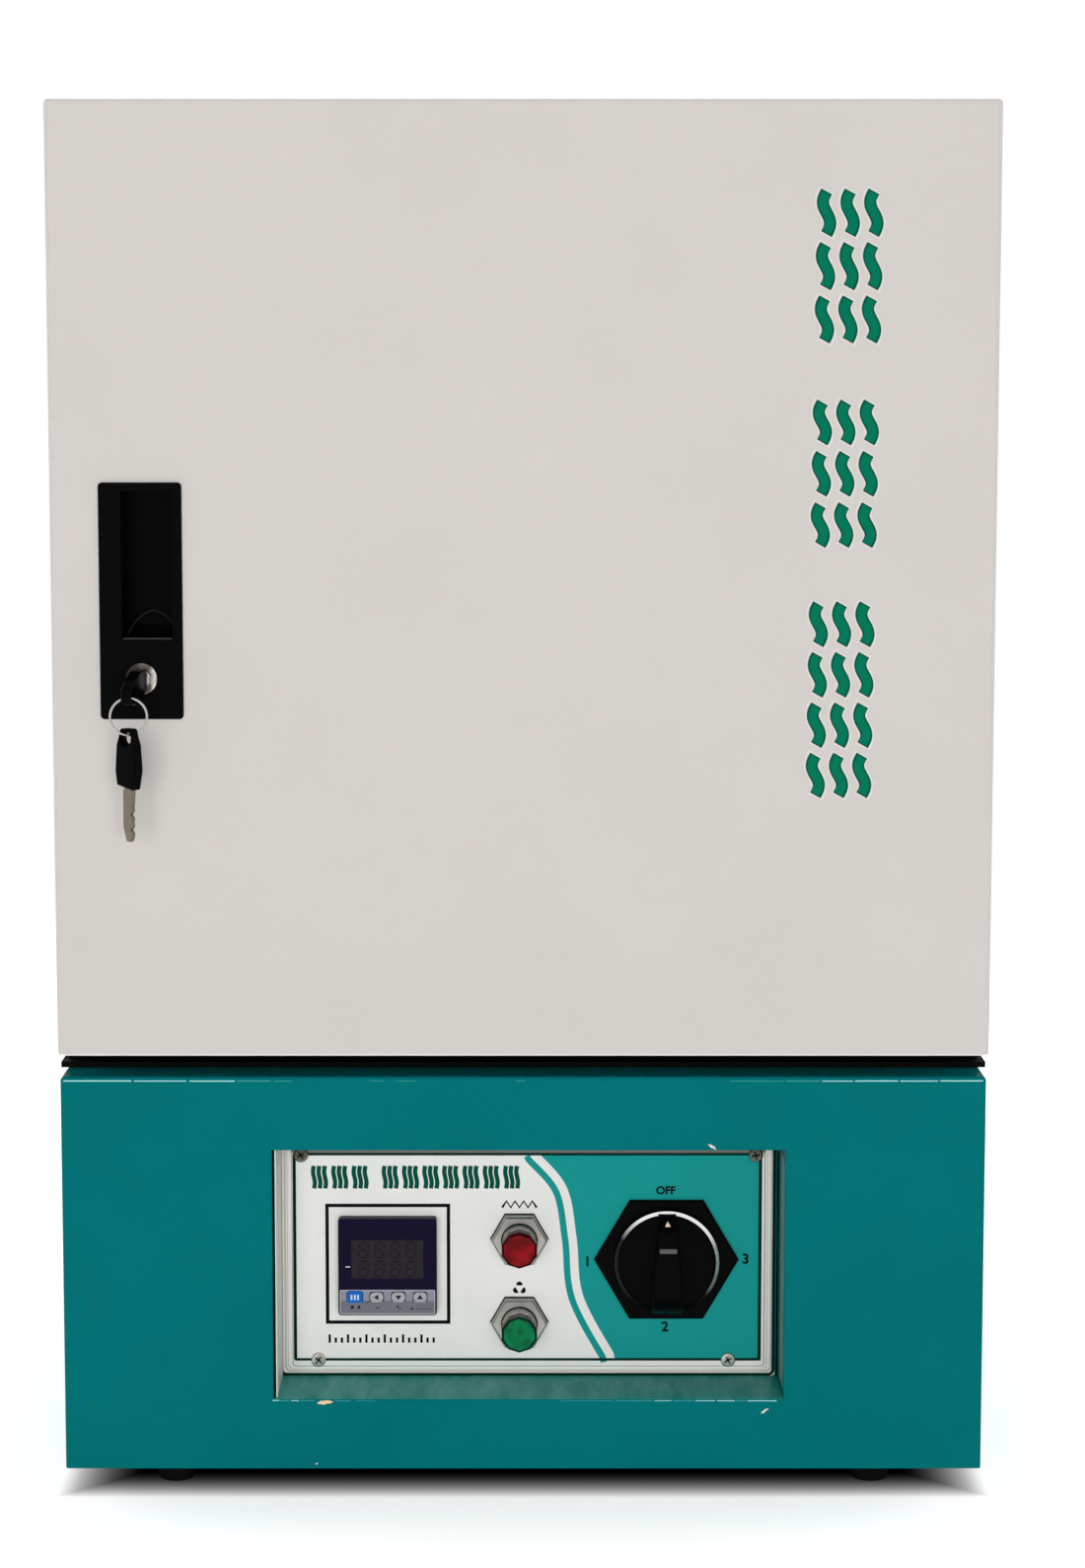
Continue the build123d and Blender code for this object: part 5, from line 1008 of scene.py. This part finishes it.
# painted highlights: ink, from x to x, foot and height on the base's front, in millimetres
highlight_lines = (
    ("worn", -218.4, -186.0, 203.9, 0.55), ("worn", -184.8, -160.0, 203.9, 0.45),
    ("worn", -158.5, -137.0, 203.85, 0.5), ("half_worn", -136.0, -120.0, 203.9, 0.5),
    ("half_worn", -118.5, -110.0, 203.9, 0.35), ("half_worn", -73.0, -66.0, 204.0, 0.3),
    ("half_worn", -60.0, -51.0, 204.0, 0.3), ("half_worn", -3.5, 1.0, 204.0, 0.3),
    ("half_worn", 98.0, 124.0, 203.95, 0.3), ("half_worn", 125.0, 141.0, 203.9, 0.45),
    ("worn", 142.0, 156.5, 203.9, 0.4), ("worn", 157.5, 178.0, 203.9, 0.5),
    ("worn", 179.0, 197.0, 203.9, 0.45), ("worn", 198.0, 218.4, 203.95, 0.5),
    ("worn", -120.4, -117.2, 48.3, 0.4), ("half_worn", -116.8, -112.0, 48.25, 0.4),
    ("worn", -111.4, -107.6, 48.25, 0.35), ("half_worn", -106.8, -100.2, 48.25, 0.35),
    ("half_worn", -90.4, -83.0, 48.2, 0.35), ("half_worn", -80.0, -71.0, 48.25, 0.25),
    ("half_worn", 18.0, 43.0, 48.3, 0.25), ("half_worn", 44.5, 62.0, 48.2, 0.35),
    ("worn", 63.0, 71.0, 48.25, 0.3), ("half_worn", 71.8, 82.0, 48.2, 0.4),
    ("worn", 82.6, 92.0, 48.2, 0.35), ("worn", 93.0, 101.4, 48.15, 0.4),
    ("half_worn", 101.9, 107.0, 48.2, 0.35), ("worn", 107.6, 121.5, 48.15, 0.38),
)
# the door's foot gets a pale line along its lower edge as a painted highlight
foot_edge_inset, foot_edge_span, foot_edge_corner = 1.2 * mm, (0.4 * mm, 1.2 * mm), 0.3 * mm
# place (x, z), the two half sizes, the turn and the ink of each chip, in millimetres and degrees
front_chips = ((89.9, 172.4, 2.4, 0.9, -35, "pale"), (115.7, 43.3, 2.2, 0.8, 35, "pale"),
               (-95.2, 47.6, 4.1, 1.35, 3, "primer"), (-99.3, 17.3, 0.7, 0.5, 0, "pale"))
chip_corners = 11
chip_mean = 0.8                 # of the half sizes, with two waves on it as (swing, angle per corner)
chip_waves = ((0.25, 3.1), (0.12, 5.3))


def add_edge_highlights():
    """Painted highlights along the base's upper edge and the recess's lip, and a painted highlight on the
    door's foot.
    """
    for number, (paint, start, end, foot, height) in enumerate(highlight_lines, 1):
        loop = rectangle(start * mm, end * mm, foot * mm, (foot + height) * mm, height / highlight_roundness * mm)
        print_loops(f"highlit_edge_{number}", [loop], base_front, f"ink_{paint}",
                    thickness=highlight_thickness)
    low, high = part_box("door_outer_pan")
    foot = rectangle(low.x + foot_edge_inset, high.x - foot_edge_inset, low.z + foot_edge_span[0],
                     low.z + foot_edge_span[1], foot_edge_corner)
    print_loops("door_foot_highlight", [foot], low.y, "ink_door_edge_light", body="door")


def add_chips():
    """Small flakes of missing paint, down to the pale primer, each uneven in its own way."""
    for number, (x, z, half_long, half_short, turn, paint) in enumerate(front_chips, 1):
        spin = Matrix.Rotation(radians(turn), 2)
        (wide, slow), (narrow, fast) = chip_waves
        outline = []
        for step in range(chip_corners):
            angle = 2 * pi * step / chip_corners
            uneven = chip_mean + wide * sin(slow * step + number) + narrow * cos(fast * step)
            corner = spin @ Vector((half_long * uneven * cos(angle), half_short * uneven * sin(angle)))
            outline.append(((x + corner.x) * mm, (z + corner.y) * mm))
        print_loops(f"paint_chip_{number}", [outline], base_front, f"ink_{paint}",
                    thickness=chip_thickness)


# ---------------- sill shade, handle and screws
# a black strip that stands in for the shade under the door
sill_low = (-222.4 * mm, -197.0 * mm, 206.2 * mm)
sill_high = (222.4 * mm, -178.0 * mm, 208.9 * mm)
# a grey block as painted highlight on the cup's lip, and a grey line as painted reflection along its scoop
lip_left, lip_right, lip_foot = -187.0 * mm, -164.4 * mm, 414.1 * mm
lip_span, lip_height = (0.1 * mm, 0.7 * mm), 0.7 * mm           # behind the plate's front
scoop_line = ((-186.6, 415.6), (-182.0, 422.5), (-175.5, 426.6), (-169.0, 424.6), (-164.8, 419.5))
scoop_depth = 16.0 * mm         # behind the handle plate's front
scoop_pen, scoop_thickness = 0.7 * mm, 0.6 * mm
screw_radius = 3.5 * mm
# place from the label's left or right edge, end of the label, and turn of the cross in degrees
screw_places = ((4.8, "left", "high", 38), (4.8, "right", "high", 20), (12.7, "left", "low", 52),
                (17.7, "right", "low", 30))
# the crosses are printed dark as painted shade in the recesses; the glints are painted highlights
cross_reach, cross_width = 2.1 * mm, 0.6 * mm
glint_share, glint_pen = 0.72, 0.8 * mm
glint_arc = (95, 200, 10)       # from and to in degrees, and steps
screw_print = 0.05 * mm


def add_sill_shade():
    """A black strip on the base's top under the door, as painted shade in the slit between the cabinet and
    the base.
    """
    add_block("sill_shade_strip", sill_low, sill_high, "seal_rubber")


def add_handle_lines():
    """A painted highlight on the lip of the finger cup, and a painted reflection along the scoop inside it.
    """
    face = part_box("handle_plate")[0].y
    add_block("handle_lip_highlight", (lip_left, face + lip_span[0], lip_foot),
              (lip_right, face + lip_span[1], lip_foot + lip_height), "ink_lip", "door")
    print_loops("handle_scoop_reflection", [stroke(smooth_through(scoop_line, 8), scoop_pen)],
                face + scoop_depth, "ink_scoop", body="door", thickness=scoop_thickness)


def add_screw_crosses():
    """Cross recesses of the label's screws, printed dark as painted shade, and a painted glint beside each
    lower one.
    """
    low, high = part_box("label_screws")
    for number, (inset, side, end, turn) in enumerate(screw_places, 1):
        x = label_low.x + inset * mm if side == "left" else label_high.x - inset * mm
        z = low.z + screw_radius if end == "low" else high.z - screw_radius
        prints = []
        for place, angle in enumerate((turn, turn + 90), 1):
            across, up = cross_reach * cos(radians(angle)), cross_reach * sin(radians(angle))
            prints.append((f"screw_cross_{number}_{place}", [(x - across, z - up), (x + across, z + up)],
                           cross_width, "dark"))
        if end == "low":
            prints.append((f"screw_glint_{number}", arc((x, z), screw_radius * glint_share, *glint_arc),
                           glint_pen, "pale"))
        for layer, (name, line, pen, paint) in enumerate(prints, 1):
            print_loops(name, [stroke(line, pen)], low.y, f"ink_{paint}", layer=layer,
                        thickness=screw_print)


# ---------------- stage
def add_camera():
    data = bpy.data.cameras.new("camera")
    data.sensor_fit = "VERTICAL"
    data.sensor_height = sensor_height
    data.lens = sensor_height * focal_pixels / image_height
    data.shift_x = (image_width / 2 - optical_centre_x) / image_height
    camera = bpy.data.objects.new("camera", data)
    camera.location = (0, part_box("door_outer_pan")[0].y - camera_distance, camera_height)
    camera.rotation_euler = (pi / 2 - camera_pitch, 0, 0)
    bpy.context.scene.collection.objects.link(camera)
    bpy.context.scene.camera = camera


def soft_light(name, place, aim, width, height, power):
    """A rectangular lamp that lights the object without showing in its gloss."""
    data = bpy.data.lights.new(name, "AREA")
    data.shape = "RECTANGLE"
    data.size, data.size_y = width, height
    data.energy = power
    light = bpy.data.objects.new(name, data)
    light.location = place
    light.rotation_euler = (Vector(aim) - Vector(place)).to_track_quat("-Z", "Y").to_euler()
    light.visible_glossy = False
    bpy.context.scene.collection.objects.link(light)


def backdrop_mix(tree, lit, shown):
    """What the lens, mirrors and clear plastic see, and what lights the room."""
    path = tree.nodes.new("ShaderNodeLightPath").outputs
    seen = path["Is Camera Ray"]
    for ray in ("Is Glossy Ray", "Is Transmission Ray"):
        seen = wire(tree, "ShaderNodeMath", {0: seen, 1: path[ray]}, operation="MAXIMUM")
    return wire(tree, "ShaderNodeMixShader", {0: seen, 1: lit, 2: shown})


def light_world():
    """A soft white sky, shown as a brighter backdrop."""
    world = bpy.data.worlds.new("studio")
    world.use_nodes = True
    bpy.context.scene.world = world
    tree = world.node_tree
    tree.nodes.remove(tree.nodes["Background"])
    lit, shown = (wire(tree, "ShaderNodeBackground", {"Color": (1, 1, 1, 1), "Strength": strength})
                  for strength in (sky_light, backdrop_level))
    tree.links.new(backdrop_mix(tree, lit, shown), tree.nodes["World Output"].inputs["Surface"])


def from_footprint(finish):
    """How far the floor lies outside the base's widened footprint, and how deep under it."""
    low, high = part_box("base_shell")
    axes = finish.axes()
    past = []
    for number, axis in enumerate("XY"):
        middle = (low[number] + high[number]) / 2
        reach = (high[number] - low[number]) / 2 + floor_spread[number]
        offset = finish.math("ABSOLUTE", finish.math("SUBTRACT", axes[axis], middle))
        past.append(finish.math("SUBTRACT", offset, reach))
    squares = [finish.math("POWER", finish.math("MAXIMUM", distance), 2.0) for distance in past]
    away = finish.math("SQRT", finish.math("ADD", *squares))
    return away, finish.math("MINIMUM", finish.math("MAXIMUM", *past))


def floor_finish():
    """White paper: lit, with a painted shadow that takes its colour and its added glow to black under the
    base's footprint, and passing into the backdrop further out.
    """
    finish = Finish("studio_floor", srgb(250, 250, 250), 0.9, {"Specular IOR Level": 0.0})
    away, within = from_footprint(finish)
    edge = finish.remap(finish.math("ADD", away, within), floor_edge)
    unshadowed_share = finish.math("POWER", edge, floor_falloff)
    white = finish.mix(finish.noise(800), srgb(249, 249, 249), srgb(252, 252, 252))
    finish.blend(unshadowed_share, (0.0, 0.0, 0.0, 1.0), white)
    glow = finish.node("ShaderNodeEmission", {"Strength": finish.math("MULTIPLY", unshadowed_share, floor_lift)})
    backdrop = finish.node("ShaderNodeEmission", {"Strength": backdrop_level})
    lit = finish.shader.outputs[0]
    lifted = finish.node("ShaderNodeAddShader", {0: lit, 1: glow})
    faded = finish.node("ShaderNodeMixShader", {0: finish.remap(away, floor_fade), 1: lifted,
                                                2: backdrop})
    ending = finish.tree.nodes["Material Output"].inputs["Surface"]
    finish.tree.links.new(backdrop_mix(finish.tree, lit, faded), ending)
    return finish


def add_floor():
    mesh = bpy.data.meshes.new("floor")
    half = floor_size / 2
    mesh.from_pydata([(x, y, 0) for x, y in rectangle(-half, half, -half, half)], [], [(0, 1, 2, 3)])
    mesh.materials.append(floor_finish().material)
    floor = bpy.data.objects.new("floor", mesh)
    bpy.context.scene.collection.objects.link(floor)


add_camera()
light_world()
for name, lamp in lamps.items():
    soft_light(name, *lamp)
add_floor()
dress_nodes()
print_label()
print_controller_frame()
print_switch_scale()
print_heading()
print_captions()
print_door_column()
add_plate_folds()
add_recess_film()
add_screw_crosses()
add_sill_shade()
add_handle_lines()
add_edge_highlights()
add_lamp("red")
add_lamp("green")
add_knob()
add_controller()
add_chips()

bpy.context.scene.view_settings.view_transform = "Standard"
